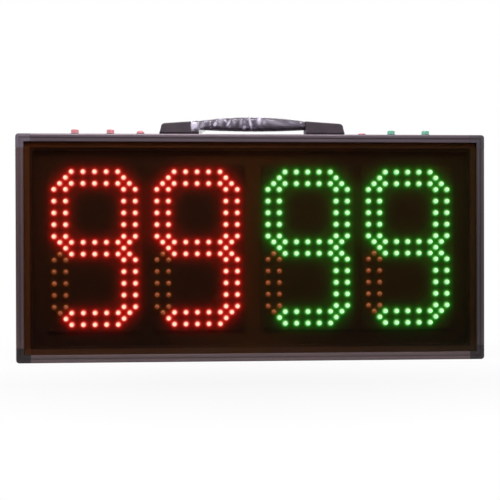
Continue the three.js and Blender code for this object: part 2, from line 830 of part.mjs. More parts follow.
// In the tray's own frame the display's middle is at x 0 and z 0.
function tray() {
  const rimBack = trayRimFront + trayThickness;
  const rim = ring(trayWidth, trayHeight, trayRound, trayRimWidth, trayRimFront, rimBack);
  const wall = ring(trayWidth, trayHeight, trayRound, trayThickness, trayRimFront, trayBack);
  const floorOutline = roundedRectangle(
    trayWidth + trayThickness,
    trayHeight + trayThickness,
    trayRound + trayThickness / 2
  );
  const floor = plate(floorOutline, trayFloorFront, trayBack);
  const pads = digitX.flatMap((x) =>
    fixings.flatMap(([across, up]) => [
      pin(padRadius, trayFloorFront - padHeight, trayBack, x + across, up, stakeSides),
      pin(stakeRadius, digitFront - stakeHead, trayBack, x + across, up, stakeSides),
    ])
  );
  const posts = standoffs.flatMap(([x, z]) => [
    pin(standoffRadius, trayFloorFront, trayBack + controlStandoff, x, z, stakeSides),
    pin(stakeRadius, trayFloorFront, trayBack + controlBack + stakeHead, x, z, stakeSides),
  ]);
  const halfWidth = headerWidth / 2 + headerRoom;
  const halfHeight = headerHeight / 2 + headerRoom;
  const windows = digitX.map((x) =>
    block(
      [x - halfWidth, trayFloorFront - overrun, headerRise - halfHeight],
      [x + halfWidth, trayBack + overrun, headerRise + halfHeight]
    )
  );
  return cut(join(rim, wall, floor, ...pads, ...posts), ...windows);
}

// Digit boards

// The middles of the seven segments, in half lamp pitches from the digit's top left lamp.
const segmentMiddleShares = [
  { across: 7, down: 1, upright: false },
  { across: 7, down: 13, upright: false },
  { across: 7, down: 25, upright: false },
  { across: 1, down: 7, upright: true },
  { across: 13, down: 7, upright: true },
  { across: 1, down: 19, upright: true },
  { across: 13, down: 19, upright: true },
];
const rowLampShares = [-4, -2, 0, 2, 4]; // along a segment's two rows, in half lamp pitches
const pointLampShares = [-5, 5]; // its two pointed ends

// Twelve lamps to a segment: two rows of five, and one at each pointed end.
function segmentLamps({ across, down, upright }) {
  const lamps = pointLampShares.map((along) => [along, 0]);
  for (const along of rowLampShares) {
    lamps.push([along, -1], [along, 1]);
  }
  return lamps.map(([along, beside]) =>
    upright ? [across + beside, down + along] : [across + along, down + beside]
  );
}

function lampPlaces() {
  return segmentMiddleShares.flatMap(segmentLamps).map(([across, down]) => [
    (across - digitPitchesAcross) * (lampPitchAcross / 2),
    (digitPitchesUp - down) * (lampPitchUp / 2),
  ]);
}

function lamp() {
  const profile = [
    new THREE.Vector2(0, -lampHeight),
    new THREE.Vector2(lampRadius, -lampShoulder),
    new THREE.Vector2(lampRadius, lampRoot),
    new THREE.Vector2(0, lampRoot),
  ];
  return toSolid(new THREE.LatheGeometry(profile, lampSides));
}

function digitBoard() {
  const outline = roundedRectangle(digitBoardWidth, digitBoardHeight, digitBoardRound);
  const board = plate(outline, 0, digitBoardThickness);
  const header = block(
    [-headerWidth / 2, digitBoardThickness / 2, headerRise - headerHeight / 2],
    [headerWidth / 2, digitBoardThickness + headerDepth, headerRise + headerHeight / 2]
  );
  const holes = fixings.map(([x, z]) =>
    pin(stakeRadius + fitGap, -overrun, digitBoardThickness + overrun, x, z, stakeSides)
  );
  const oneLamp = lamp();
  const lamps = lampPlaces().map(([x, z]) => oneLamp.translate([x, 0, z]));
  return cut(join(board, header, ...lamps), ...holes);
}

// Sheets and rear fittings

function smokedWindow() {
  const outline = roundedRectangle(boardWidth - 2 * sheetInset, boardHeight - 2 * sheetInset, sheetRound);
  return plate(outline, 0, windowThickness);
}

const coverScrews = [
  ["cover_screw_bottom_left", -coverScrewX, coverScrewInset],
  ["cover_screw_bottom_middle", 0, coverScrewInset],
  ["cover_screw_bottom_right", coverScrewX, coverScrewInset],
  ["cover_screw_top_left", -coverScrewX, boardHeight - coverScrewInset],
  ["cover_screw_top_middle", 0, boardHeight - coverScrewInset],
  ["cover_screw_top_right", coverScrewX, boardHeight - coverScrewInset],
];

function rearCover() {
  const outline = roundedRectangle(boardWidth - 2 * sheetInset, boardHeight - 2 * sheetInset, sheetRound);
  const holes = coverScrews.map(([, x, z]) =>
    pin(coverScrewHole, -overrun, rearCoverThickness + overrun, x, z - middleHeight)
  );
  const socketHole = pin(
    socketBarrelRadius + fitGap,
    -overrun,
    rearCoverThickness + overrun,
    socketRight,
    socketRise - middleHeight
  );
  return cut(plate(outline, 0, rearCoverThickness), ...holes, socketHole);
}

// The head lies behind the cover and the shank runs forwards from it.
function coverScrew() {
  const head = pin(coverScrewHeadRadius, fitGap, fitGap + coverScrewHeadHeight);
  return head.add(pin(coverScrewRadius, fitGap - coverScrewLength, fitGap + coverScrewHeadHeight / 2));
}

// In the socket's frame y 0 is the cover's outer face.
function chargeSocket() {
  const flange = pin(socketFlangeRadius, fitGap, fitGap + socketFlangeThickness);
  const barrelFront = -(socketBarrelLength + rearCoverThickness);
  const barrel = pin(socketBarrelRadius, barrelFront, fitGap + socketFlangeThickness / 2);
  const lugs = [-1, 1].map((side) => {
    const middle = (side * socketBarrelRadius) / 2;
    return block(
      [middle - buttonLugWidth / 2, barrelFront - socketLugLength, -buttonLugThickness / 2],
      [middle + buttonLugWidth / 2, barrelFront + buttonLugThickness, buttonLugThickness / 2]
    );
  });
  const outer = fitGap + socketFlangeThickness;
  return cut(join(flange, barrel, ...lugs), pin(socketBoreRadius, outer - socketBoreDepth, outer + overrun));
}

function socketNut() {
  const back = -(rearCoverThickness + fitGap);
  const hexagon = pin(nutRadius(socketBarrelRadius), back - nutThickness, back, 0, 0, 6);
  return cut(hexagon, pin(socketBarrelRadius + fitGap, back - nutThickness - overrun, back + overrun));
}

// Electronics: y runs back from the control board's front face, and the origin is the board's middle

const plugRow = controlHeight / 2 - plugHeight / 2;
const plugs = {
  battery: [-controlWidth / 4, -plugRow],
  charge: [controlWidth / 4, -plugRow],
  harness: [ribbonPlugWidth / 2 + plugRoom + plugWidth / 2, plugRow],
};

function controlBoard() {
  const board = plate(roundedRectangle(controlWidth, controlHeight, digitBoardRound), 0, controlThickness);
  const root = controlThickness / 2;
  const pieces = Object.values(plugs).map(([x, z]) =>
    block(
      [x - plugWidth / 2, root, z - plugHeight / 2],
      [x + plugWidth / 2, controlThickness + plugDepth, z + plugHeight / 2]
    )
  );
  pieces.push(
    block(
      [-headerWidth / 2, root, controlHeaderZ - headerHeight / 2],
      [headerWidth / 2, controlThickness + headerDepth, controlHeaderZ + headerHeight / 2]
    )
  );
  pieces.push(
    block(
      [-chipSize / 2, root, -chipSize / 2],
      [chipSize / 2, controlThickness + chipThickness, chipSize / 2]
    )
  );
  for (const side of [-1, 1]) {
    const x = side * (controlWidth / 2 - 2 * standoffInset - capacitorRadius);
    pieces.push(pin(capacitorRadius, root, controlThickness + capacitorHeight, x, 0));
  }
  const holes = standoffs.map(([x, z]) =>
    pin(stakeRadius + fitGap, -overrun, controlThickness + overrun, x, z - controlZ, stakeSides)
  );
  return cut(join(board, ...pieces), ...holes);
}

function batteryPack() {
  const radius = cellDiameter / 2;
  const outline = roundedRectangle(cellDiameter, packHeight, radius * packRoundShare);
  return drawnAlongX(outline, -packLength / 2, packLength / 2);
}

// A sheet strap over the pack, with a foot above and below it on the tray.
function batteryClip() {
  const halfHeight = packHeight / 2 + fitGap;
  const front = -(cellDiameter / 2 + fitGap);
  const feet = 2 * (halfHeight + clipThickness + clipFoot);
  const outside = roundedRectangle(
    cellDiameter + 2 * (fitGap + clipThickness),
    packHeight + 2 * (fitGap + clipThickness),
    (cellDiameter * packRoundShare) / 2 + fitGap + clipThickness
  );
  const inside = roundedRectangle(
    cellDiameter + 2 * fitGap,
    packHeight + 2 * fitGap,
    (cellDiameter * packRoundShare) / 2 + fitGap
  );
  const half = clipWidth / 2;
  const foot = block([-half, front + fitGap, -feet / 2], [half, front + fitGap + clipThickness, feet / 2]);
  const behind = block([-half, front + fitGap, -feet / 2], [half, cellDiameter, feet / 2]);
  const hoop = drawnAlongX(outside, -half, half).intersect(behind);
  const hollow = drawnAlongX(inside, -half - overrun, half + overrun);
  return hoop.add(foot).subtract(hollow);
}

// Wiring, in the frame of the tray's back face: y runs back from it, x 0 and z 0 are the display's middle

const headerTail = digitBack + headerDepth - trayBack;

// The ribbon hangs in shallow waves between its plugs, from the first digit to the last. Its middle plug
// reaches down to the control board.
function displayRibbon() {
  const digitLevel = headerTail + fitGap + ribbonPlugDepth;
  const controlLevel = controlBack + headerDepth + fitGap + ribbonPlugDepth;
  const digitFoot = headerRise - headerHeight / 2;
  const stops = [
    [digitX[0], digitLevel, digitFoot],
    [digitX[1], digitLevel, digitFoot],
    [0, controlLevel, controlZ + controlHeaderZ - headerHeight / 2],
    [digitX[2], digitLevel, digitFoot],
    [digitX[3], digitLevel, digitFoot],
  ];
  const halfPlug = ribbonPlugWidth / 2;
  const line = [];
  stops.forEach(([x, level], i) => {
    line.push([x - halfPlug, level], [x + halfPlug, level]);
    if (i + 1 < stops.length) {
      const [nextX, nextLevel] = stops[i + 1];
      const from = x + halfPlug;
      const to = nextX - halfPlug;
      for (let step = 1; step < ribbonStations; step++) {
        const share = step / ribbonStations;
        const ease = share * share * (3 - 2 * share);
        line.push([from + (to - from) * share, level + (nextLevel - level) * ease]);
      }
    }
  });
  const back = line.map(([x, y]) => new THREE.Vector2(x, y));
  const front = line.map(([x, y]) => new THREE.Vector2(x, y - ribbonThickness)).reverse();
  const strip = new THREE.ExtrudeGeometry(new THREE.Shape([...back, ...front]), {
    depth: ribbonWidth,
    bevelEnabled: false,
  });
  strip.translate(0, 0, headerRise - ribbonWidth / 2);
  const plugBlocks = stops.map(([x, level, foot]) =>
    block(
      [x - halfPlug, level - ribbonPlugDepth, foot],
      [x + halfPlug, level - ribbonThickness / 2, headerRise + headerHeight / 2]
    )
  );
  return join(toSolid(strip), ...plugBlocks);
}

// One loom gathers the wires of all six buttons and drops to the control board.
function buttonHarness() {
  const lugEnd = middleHeight - frameWall - buttonBarrelLength - buttonLugLength;
  const level = lugEnd - trunkDrop;
  const lane = railMiddle - trayBack;
  const [plugX, plugZ] = plugs.harness;
  const plugTop = controlZ + plugZ + plugHeight / 2 + fitGap;
  const plugLane = controlBack + plugDepth / 2;
  const trunk = wire(
    [
      [-outerKeyX - trunkRadius, lane, level],
      [0, lane, level],
      [outerKeyX + trunkRadius, lane, level],
    ],
    trunkRadius
  );
  const drop = wire(
    [
      [plugX, lane, level],
      [plugX, (lane + plugLane) / 2, (level + plugTop) / 2],
      [plugX, plugLane, plugTop],
    ],
    trunkRadius
  );
  const risers = buttons.map(({ x }) => post(riserRadius, level, lugEnd - fitGap, x, lane));
  return join(trunk, drop, ...risers);
}

function batteryLead() {
  const [plugX, plugZ] = plugs.battery;
  const packEnd = -packLeft + packLength / 2 + fitGap;
  const packZ = packRise - middleHeight;
  const lane = fitGap + cellDiameter / 2;
  const plugFoot = controlZ + plugZ - plugHeight / 2 - fitGap;
  const plugLane = controlBack + plugDepth / 2;
  const loop = plugX - packEnd;
  return wire(
    [
      [packEnd, lane, packZ],
      [packEnd + loop / 2, lane, packZ],
      [plugX, (lane + plugLane) / 2, (packZ + plugFoot) / 2],
      [plugX, plugLane, plugFoot],
    ],
    leadRadius
  );
}

function chargeLead() {
  const [plugX, plugZ] = plugs.charge;
  const lugFront = coverBack - trayBack - rearCoverThickness - socketBarrelLength - socketLugLength;
  const lane = lugFront + leadRadius;
  const socketZ = socketRise - middleHeight - buttonLugThickness / 2 - fitGap - leadRadius;
  const plugFoot = controlZ + plugZ - plugHeight / 2 - fitGap;
  const plugLane = controlBack + plugDepth / 2;
  return wire(
    [
      [socketRight + socketBarrelRadius, lane, socketZ],
      [socketRight - socketBarrelRadius, lane, socketZ],
      [socketRight - 2 * socketBarrelRadius, lane, socketZ],
      [(socketRight + plugX) / 2, lane, socketZ + (plugFoot - socketZ) / 4],
      [plugX, (lane + plugLane) / 2, (socketZ + plugFoot) / 2],
      [plugX, plugLane, plugFoot],
    ],
    leadRadius
  );
}

// Materials, from the photograph

function material(colour, roughness, metalness = 0) {
  return new THREE.MeshStandardMaterial({ color: colour, roughness, metalness });
}

const frameGrey = material("#4a444c", 0.42, 0.7);
const cornerBlack = material("#2e2a30", 0.55);
const smoked = new THREE.MeshStandardMaterial({
  color: "#241409",
  roughness: 0.06,
  transparent: true,
  opacity: 0.4,
});
const coverBlack = material("#26242a", 0.6);
const trayBlack = material("#17120f", 0.7);
const boardBlack = material("#1b130e", 0.55);
const buttonRed = material("#c8323c", 0.4);
const buttonGreen = material("#2fa877", 0.4);
const buttonBlack = material("#1d1b1f", 0.45);
const steel = material("#b9b6b2", 0.3, 1);
const handlePlastic = material("#3b343b", 0.5);
const gripRubber = material("#35303a", 0.6);
const clearFilm = new THREE.MeshStandardMaterial({
  color: "#d9d6e2",
  roughness: 0.12,
  transparent: true,
  opacity: 0.25,
});
const boardGreen = material("#1d5a38", 0.5);
const cellBlue = material("#2a56a8", 0.4);
const cableGrey = material("#9a9a9e", 0.5);
const cableBlack = material("#1a1a1c", 0.5);
const cableRed = material("#a3262b", 0.5);

// The assembly

const substitutionBoard = new THREE.Group();
substitutionBoard.position.set(0, -boardDepth / 2, 0); // y runs back from the front face in here

function add(parent, name, solid, look, x = 0, y = 0, z = 0, turn = 0) {
  const mesh = new THREE.Mesh(toGeometry(solid), look);
  mesh.name = name;
  mesh.position.set(x, y, z);
  mesh.rotation.y = turn;
  parent.add(mesh);
  return mesh;
}

const frame = new THREE.Group();
substitutionBoard.add(frame);
add(frame, "frame_bottom", bottomRail(), frameGrey);
add(frame, "frame_top", topRail(), frameGrey, 0, 0, boardHeight, Math.PI);
add(frame, "frame_left", extrusion(stileLength), frameGrey, -boardWidth / 2, 0, middleHeight, Math.PI / 2);
add(frame, "frame_right", extrusion(stileLength), frameGrey, boardWidth / 2, 0, middleHeight, -Math.PI / 2);
add(frame, "corner_bottom_left", corner(false), cornerBlack, -boardWidth / 2, 0, 0);
add(frame, "corner_bottom_right", corner(true), cornerBlack, boardWidth / 2, 0, 0, -Math.PI / 2);
add(frame, "corner_top_right", corner(false), cornerBlack, boardWidth / 2, 0, boardHeight, Math.PI);
add(frame, "corner_top_left", corner(true), cornerBlack, -boardWidth / 2, 0, boardHeight, Math.PI / 2);
add(frame, "front_window", smokedWindow(), smoked, 0, windowFront, middleHeight);
add(frame, "rear_cover", rearCover(), coverBlack, 0, coverFront, middleHeight);
for (const [name, x, z] of coverScrews) {
  add(frame, name, coverScrew(), steel, x, coverBack, z);
}

const display = new THREE.Group();
display.position.set(0, 0, middleHeight);
substitutionBoard.add(display);
add(display, "display_tray", tray(), trayBlack);
["out_tens_digit", "out_units_digit", "in_tens_digit", "in_units_digit"].forEach((name, i) => {
  add(display, name, digitBoard(), boardBlack, digitX[i], digitFront, 0);
});

const electronics = new THREE.Group();
electronics.position.set(0, trayBack, middleHeight);
substitutionBoard.add(electronics);
add(electronics, "control_board", controlBoard(), boardGreen, 0, controlFront, controlZ);
const packPlace = [-packLeft, fitGap + cellDiameter / 2, packRise - middleHeight];
add(electronics, "battery_pack", batteryPack(), cellBlue, ...packPlace);
add(electronics, "battery_clip", batteryClip(), steel, ...packPlace);
add(electronics, "display_ribbon", displayRibbon(), cableGrey);
add(electronics, "button_harness", buttonHarness(), cableBlack);
add(electronics, "battery_lead", batteryLead(), cableRed);
add(electronics, "charge_lead", chargeLead(), cableBlack);

const socket = new THREE.Group();
socket.position.set(socketRight, coverBack, socketRise);
substitutionBoard.add(socket);
add(socket, "charge_socket", chargeSocket(), buttonBlack);
add(socket, "charge_socket_nut", socketNut(), steel);

const topLine = new THREE.Group();
topLine.position.set(0, railMiddle, boardHeight);
substitutionBoard.add(topLine);
for (const { name, x, rise, colour, domed } of buttons) {
  add(topLine, name + "_cap", buttonCap(rise, domed), colour === "red" ? buttonRed : buttonGreen, x);
  add(topLine, name + "_body", buttonBody(), buttonBlack, x);
  add(topLine, name + "_nut", buttonNut(), steel, x);
}

const handle = new THREE.Group();
topLine.add(handle);
add(handle, "handle_band", handleBand(), steel);
add(handle, "handle_grip", handleGrip(), gripRubber);
add(handle, "grip_film", gripFilm(), clearFilm);
for (const [side, turn] of [["right", 0], ["left", Math.PI]]) {
  const end = new THREE.Group();
  end.rotation.z = turn;
  handle.add(end);
  add(end, "handle_cap_" + side, handleCap(), handlePlastic);
  add(end, "handle_base_" + side, handleBase(), handlePlastic);
  add(end, "handle_screw_" + side, handleScrew(), steel);
  add(end, "handle_anchor_" + side, handleAnchor(), steel);
}

export default substitutionBoard;
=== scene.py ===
"""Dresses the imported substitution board: camera, light, materials, lamps, buttons, handle and fittings."""

import math
import random

import bmesh
import bpy
import numpy as np
from mathutils import Matrix, Vector, noise


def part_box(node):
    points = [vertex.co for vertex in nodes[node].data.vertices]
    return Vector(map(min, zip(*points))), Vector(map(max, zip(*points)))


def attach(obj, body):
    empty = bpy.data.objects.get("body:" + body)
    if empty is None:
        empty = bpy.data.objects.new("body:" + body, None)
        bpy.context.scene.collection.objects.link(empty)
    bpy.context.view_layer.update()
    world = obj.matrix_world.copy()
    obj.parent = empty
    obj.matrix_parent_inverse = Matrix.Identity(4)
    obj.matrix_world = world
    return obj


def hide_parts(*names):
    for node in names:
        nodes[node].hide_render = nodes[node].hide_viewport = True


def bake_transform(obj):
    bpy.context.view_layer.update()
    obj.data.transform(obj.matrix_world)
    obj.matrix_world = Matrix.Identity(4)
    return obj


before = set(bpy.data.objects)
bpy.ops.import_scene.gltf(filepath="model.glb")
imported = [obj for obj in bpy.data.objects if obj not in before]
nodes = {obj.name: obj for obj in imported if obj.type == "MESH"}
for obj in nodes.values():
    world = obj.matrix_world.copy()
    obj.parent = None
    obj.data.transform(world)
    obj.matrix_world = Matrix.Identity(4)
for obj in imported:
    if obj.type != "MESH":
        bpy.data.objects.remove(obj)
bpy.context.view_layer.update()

MM = 0.001
SEED = 41
WHITE, BLACK = (1.0, 1.0, 1.0), (0.0, 0.0, 0.0)


# Sizes and places taken from the frame, in millimetres

def corners(name):
    """The lowest and the highest corner of a CAD node at rest."""
    return [[round(value / MM, 3) for value in corner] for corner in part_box(name)]


def middle(name):
    low, high = corners(name)
    return [(a + b) / 2 for a, b in zip(low, high)]


def extent(name):
    low, high = corners(name)
    return [b - a for a, b in zip(low, high)]


BOARD_CORNER = corners("corner_top_right")[1]
BOARD_WIDTH, BOARD_DEPTH, BOARD_HEIGHT = 2 * BOARD_CORNER[0], 2 * BOARD_CORNER[1], BOARD_CORNER[2]
FRONT_Y = -BOARD_DEPTH / 2
MIDDLE_Z = BOARD_HEIGHT / 2
RAIL_TOP = BOARD_HEIGHT
COVER_Y = corners("rear_cover")[1][1]  # the rear cover's outer face
FIT = 0.3  # the play under the flanges of the buttons and the socket

# Camera, fitted to the lamp centres and to the frame's outline, in metres and degrees

CAMERA_AT = (-0.0794, -1.30245, 0.1560)
CAMERA_YAW, CAMERA_PITCH, CAMERA_ROLL = -3.36, -0.454, 0.145
CAMERA_LEVEL = 90.0  # from looking down to looking level
CAMERA_LENS, CAMERA_SENSOR = 70.53, 36.0


def add_object(name, data):
    """An object in the scene that shows a mesh, a lamp or the camera."""
    obj = bpy.data.objects.new(name, data)
    bpy.context.scene.collection.objects.link(obj)
    return obj


camera_data = bpy.data.cameras.new("camera")
camera_data.lens = CAMERA_LENS
camera_data.sensor_width = CAMERA_SENSOR
camera = add_object("camera", camera_data)
camera.matrix_world = (
    Matrix.Translation(CAMERA_AT)
    @ Matrix.Rotation(math.radians(CAMERA_YAW), 4, "Z")
    @ Matrix.Rotation(math.radians(CAMERA_PITCH), 4, "X")
    @ Matrix.Rotation(math.radians(CAMERA_ROLL), 4, "Y")
    @ Matrix.Rotation(math.radians(CAMERA_LEVEL), 4, "X")
)
bpy.context.scene.camera = camera
bpy.context.scene.view_settings.view_transform = "Standard"

# Nodes and materials

NOISE_LOW, NOISE_HIGH = 0.35, 0.65  # nearly all of a noise's values lie between these


def linear(red, green, blue):
    """A colour given as 0 to 255 screen values, as the linear colour that a shader takes."""
    return tuple(
        value / 12.92 if value <= 0.04045 else ((value + 0.055) / 1.055) ** 2.4
        for value in (red / 255, green / 255, blue / 255)
    )


def shade(colour, share):
    return tuple(min(1.0, channel * share) for channel in colour)


class Tree:
    """The nodes of a material or of the world. A value is a number, a colour or another node's socket."""

    def __init__(self, owner, output):
        owner.use_nodes = True
        self.tree = owner.node_tree
        self.tree.nodes.clear()
        self.out = self.node(output)

    def node(self, kind, **settings):
        made = self.tree.nodes.new("ShaderNode" + kind)
        for key, value in settings.items():
            setattr(made, key, value)
        return made

    def link(self, output, target):
        self.tree.links.new(output, target)

    def feed(self, value, target):
        if isinstance(value, bpy.types.NodeSocket):
            self.link(value, target)
        elif isinstance(value, (int, float)):
            target.default_value = value
        else:
            target.default_value = (*value, 1)

    def ramp(self, value, low, high, start=NOISE_LOW, end=NOISE_HIGH, **settings):
        """Goes from low to high while the value goes from start to end."""
        made = self.node("MapRange", **settings)
        for socket, number in (("From Min", start), ("From Max", end), ("To Min", low), ("To Max", high)):
            made.inputs[socket].default_value = number
        self.link(value, made.inputs["Value"])
        return made.outputs["Result"]

    def mix(self, factor, first, second, blend="MIX"):
        made = self.node("Mix", data_type="RGBA", blend_type=blend)
        for socket, value in ((0, factor), (6, first), (7, second)):
            self.feed(value, made.inputs[socket])
        return made.outputs[2]

    def reckon(self, operation, first, second=0.0):
        made = self.node("Math", operation=operation)
        self.feed(first, made.inputs[0])
        self.feed(second, made.inputs[1])
        return made.outputs[0]

    def split(self, place):
        """A place's coordinates as three sockets."""
        made = self.node("SeparateXYZ")
        self.link(place, made.inputs[0])
        return made.outputs

    def surface(self, factor, first, second):
        """Shows a mix of two shaders."""
        made = self.node("MixShader")
        for target, output in zip(made.inputs, (factor, first, second)):
            self.link(output, target)
        self.link(made.outputs[0], self.out.inputs["Surface"])


class Look(Tree):
    """A Principled material. Its sockets' names are given with underscores."""

    def __init__(self, name, roughness, **sockets):
        self.material = bpy.data.materials.new(name)
        super().__init__(self.material, "OutputMaterial")
        self.shader = self.node("BsdfPrincipled")
        self.link(self.shader.outputs["BSDF"], self.out.inputs["Surface"])
        self.shader.inputs["Roughness"].default_value = roughness
        for socket, value in sockets.items():
            self.shader.inputs[socket.replace("_", " ")].default_value = value
        self.place = self.node("TexCoord").outputs["Object"]

    def speckle(self, size, stretch=(1, 1, 1), detail=3.0):
        """Noise whose features are about size millimetres, longer along an axis whose stretch is above 1."""
        mapping = self.node("Mapping")
        mapping.inputs["Scale"].default_value = [1 / (size * MM * s) for s in stretch]
        self.link(self.place, mapping.inputs["Vector"])
        made = self.node("TexNoise")
        made.inputs["Scale"].default_value = 1.0
        made.inputs["Detail"].default_value = detail
        self.link(mapping.outputs[0], made.inputs["Vector"])
        return made.outputs["Fac"]

    def colour(self, socket):
        self.link(socket, self.shader.inputs["Base Color"])

    def base(self):
        return self.shader.inputs["Base Color"].links[0].from_socket

    def tone(self, tone):
        """Multiplies the base colour."""
        self.colour(self.mix(1.0, self.base(), tone, "MULTIPLY"))

    def relief(self, value, height):
        """Bump of the given height in millimetres."""
        made = self.node("Bump")
        made.inputs["Distance"].default_value = height * MM
        made.inputs["Strength"].default_value = 1.0
        self.link(value, made.inputs["Height"])
        self.link(made.outputs[0], self.shader.inputs["Normal"])

    def between(self, value, low, high):
        """1 where the value lies between two places in millimetres, and 0 elsewhere."""
        above = self.reckon("GREATER_THAN", value, low * MM)
        return self.reckon("MULTIPLY", above, self.reckon("LESS_THAN", value, high * MM))

    def attribute(self, name):
        return self.node("Attribute", attribute_name=name).outputs["Fac"]

    def light(self, *parts):
        """Light of several colours, each as strong as an attribute of the mesh says."""
        total = None
        for name, colour in parts:
            part = self.mix(self.attribute(name), BLACK, colour)
            total = part if total is None else self.mix(1.0, total, part, "ADD")
        self.glow(total)

    def glow(self, socket):
        """Makes the surface glow. It is seen, but isn't sampled as a lamp."""
        self.link(socket, self.shader.inputs["Emission Color"])
        self.shader.inputs["Emission Strength"].default_value = 1.0
        self.material.cycles.emission_sampling = "NONE"


def dress(look, *names):
    for name in names:
        mesh = nodes[name].data
        mesh.materials.clear()
        mesh.materials.append(look.material)


DRIFT, DRIFT_DETAIL, GRAIN_DETAIL = 22, 2.0, 4.0  # the drift's size in grains, and the two noises' detail


def plain(name, colour, roughness, size=1.2, stretch=(1, 1, 1), tint=0.12, play=0.06, height=0.02, **sockets):
    """Grained surface: slow colour drift, and a fine grain in roughness and relief."""
    look = Look(name, roughness, **sockets)
    drift = look.speckle(size * DRIFT, stretch, DRIFT_DETAIL)
    grain = look.speckle(size, stretch, GRAIN_DETAIL)
    look.colour(look.mix(look.ramp(drift, 0, 1), shade(colour, 1 - tint), shade(colour, 1 + tint)))
    look.tone(look.mix(look.ramp(grain, 0, 1), shade(WHITE, 1 - tint / 2), WHITE))
    look.link(look.ramp(grain, roughness - play, roughness + play), look.shader.inputs["Roughness"])
    look.relief(grain, height)
    return look


# Frame: colour, whether it runs upright and level, and how dark its groove, outer edge and inner edge are

# The colours are partly each piece's own tone and partly painted light and shade, as the light falls on it;
# the darkening of the groove and edges is painted shade.
SECTIONS = {
    "frame_top": (linear(109, 94, 103), False, True, 0.6, 1.0, 1.0),
    "frame_bottom": (linear(100, 84, 87), False, True, 0.7, 1.0, 1.0),
    "frame_left": (linear(104, 83, 87), True, False, 0.85, 0.55, 0.6),
    "frame_right": (linear(89, 79, 82), True, False, 0.7, 0.8, 0.6),
    "corner_top_left": (linear(101, 89, 101), True, True, 0.85, 0.5, 0.9),
    "corner_top_right": (linear(72, 66, 72), True, True, 0.75, 0.9, 0.9),
    "corner_bottom_left": (linear(42, 30, 34), True, True, 0.8, 0.6, 0.9),
    "corner_bottom_right": (linear(46, 36, 41), True, True, 0.8, 0.8, 0.9),
}
BRUSHED = 90  # how much longer the aluminium's grain is along the rail
GROOVE, OUTER_EDGE, INNER_EDGE = (4.55, 6.45), (-1.0, 1.1), (9.3, 10.4)  # inwards from the frame's outer edge
FACE_DEPTH = 2.0  # how far back from the front face the painted shade goes
SHADED_BOTTOM, LIT_TOP = 0.8, 1.25  # painted light and shade: an upright piece's tone at the board's bottom and top
# The ledge behind the window, and its painted lamp light at the board's left and right
LEDGE_FRONT, LEDGE_BACK, LEDGE_INWARD = 5.0, 7.2, 4.0
LEDGE_LEFT, LEDGE_RIGHT = (0.115, 0.110, 0.082), (0.050, 0.100, 0.094)


def paint_section_light(look, upright, level, shares):
    """Painted light and shade: groove, outer and inner edges, uprights, and lamp light on the ledge."""
    x, y, z = look.split(look.place)
    sideways = look.reckon("SUBTRACT", BOARD_WIDTH / 2 * MM, look.reckon("ABSOLUTE", x))
    from_middle = look.reckon("ABSOLUTE", look.reckon("SUBTRACT", z, MIDDLE_Z * MM))
    upwards = look.reckon("SUBTRACT", BOARD_HEIGHT / 2 * MM, from_middle)
    if upright and level:
        inward = look.reckon("MINIMUM", sideways, upwards)
    else:
        inward = sideways if upright else upwards
    front = look.reckon("LESS_THAN", y, (FRONT_Y + FACE_DEPTH) * MM)
    # Painted shade in the groove and along the outer and inner edges of the front face
    for (low, high), share in zip((GROOVE, OUTER_EDGE, INNER_EDGE), shares):
        strip = look.reckon("MULTIPLY", look.between(inward, low, high), front)
        look.tone(look.mix(strip, WHITE, shade(WHITE, share)))
    # Painted light and shade: an upright piece is darker at the bottom and lighter at the top
    if upright:
        look.tone(look.ramp(z, SHADED_BOTTOM, LIT_TOP, 0, BOARD_HEIGHT * MM))
    # Painted lamp light on the ledge behind the window, from its left colour to its right
    behind_window = look.between(y, FRONT_Y + LEDGE_FRONT, FRONT_Y + LEDGE_BACK)
    ledge = look.reckon("MULTIPLY", behind_window, look.reckon("GREATER_THAN", inward, LEDGE_INWARD * MM))
    along = look.ramp(x, 0, 1, -BOARD_WIDTH / 2 * MM, BOARD_WIDTH / 2 * MM)
    look.colour(look.mix(ledge, look.base(), look.mix(along, LEDGE_LEFT, LEDGE_RIGHT)))


metal = dict(size=0.35, tint=0.1, play=0.08, height=0.012, Metallic=0.35)
for name, (colour, upright, level, *shares) in SECTIONS.items():
    if upright and level:
        look = plain(name, colour, roughness=0.5, size=0.5)
    else:
        brushed = (1, 1, BRUSHED) if upright else (BRUSHED, 1, 1)
        look = plain(name, colour, roughness=0.42, stretch=brushed, **metal)
    paint_section_light(look, upright, level, shares)
    dress(look, name)

# Plastics, leads and fittings

cover_look = plain("cover_plastic", linear(52, 48, 52), roughness=0.55, size=0.8, height=0.05, play=0.08)
board_look = plain("circuit_board", linear(26, 74, 46), roughness=0.4, size=2.0, height=0.01)
cell_look = plain("cell_wrap", linear(38, 74, 132), roughness=0.3, size=3.0, height=0.03)
steel_look = plain("bright_steel", linear(186, 184, 182), roughness=0.3, size=0.3, height=0.008, Metallic=1.0)
black_look = plain("button_black", linear(40, 38, 42), roughness=0.4, size=0.6, height=0.015)
cap_look = plain("handle_plastic", linear(71, 60, 68), roughness=0.52, size=0.55, height=0.05, play=0.07)
grip_look = plain("grip_rubber", linear(58, 46, 60), roughness=0.62, size=0.7, height=0.12, play=0.08)
grey_lead = plain("grey_cable", linear(140, 140, 144), roughness=0.5, size=0.6)
black_lead = plain("black_cable", linear(34, 34, 36), roughness=0.45, size=0.6)
red_lead = plain("red_cable", linear(170, 34, 30), roughness=0.45, size=0.6)
satin = dict(roughness=0.36, size=0.6, tint=0.06, height=0.01, Coat_Weight=0.25)
cap_looks = {
    "red": plain("button_red", linear(228, 142, 150), **satin),
    "green": plain("button_green", linear(124, 192, 168), **satin),
}

# Smoked acrylic: one clear tinted sheet that lamps shine through
SMOKE = (0.41, 0.165, 0.075, 1)
smoke = Look("smoked_acrylic", roughness=0.13, Base_Color=SMOKE, Transmission_Weight=1.0, IOR=1.25)
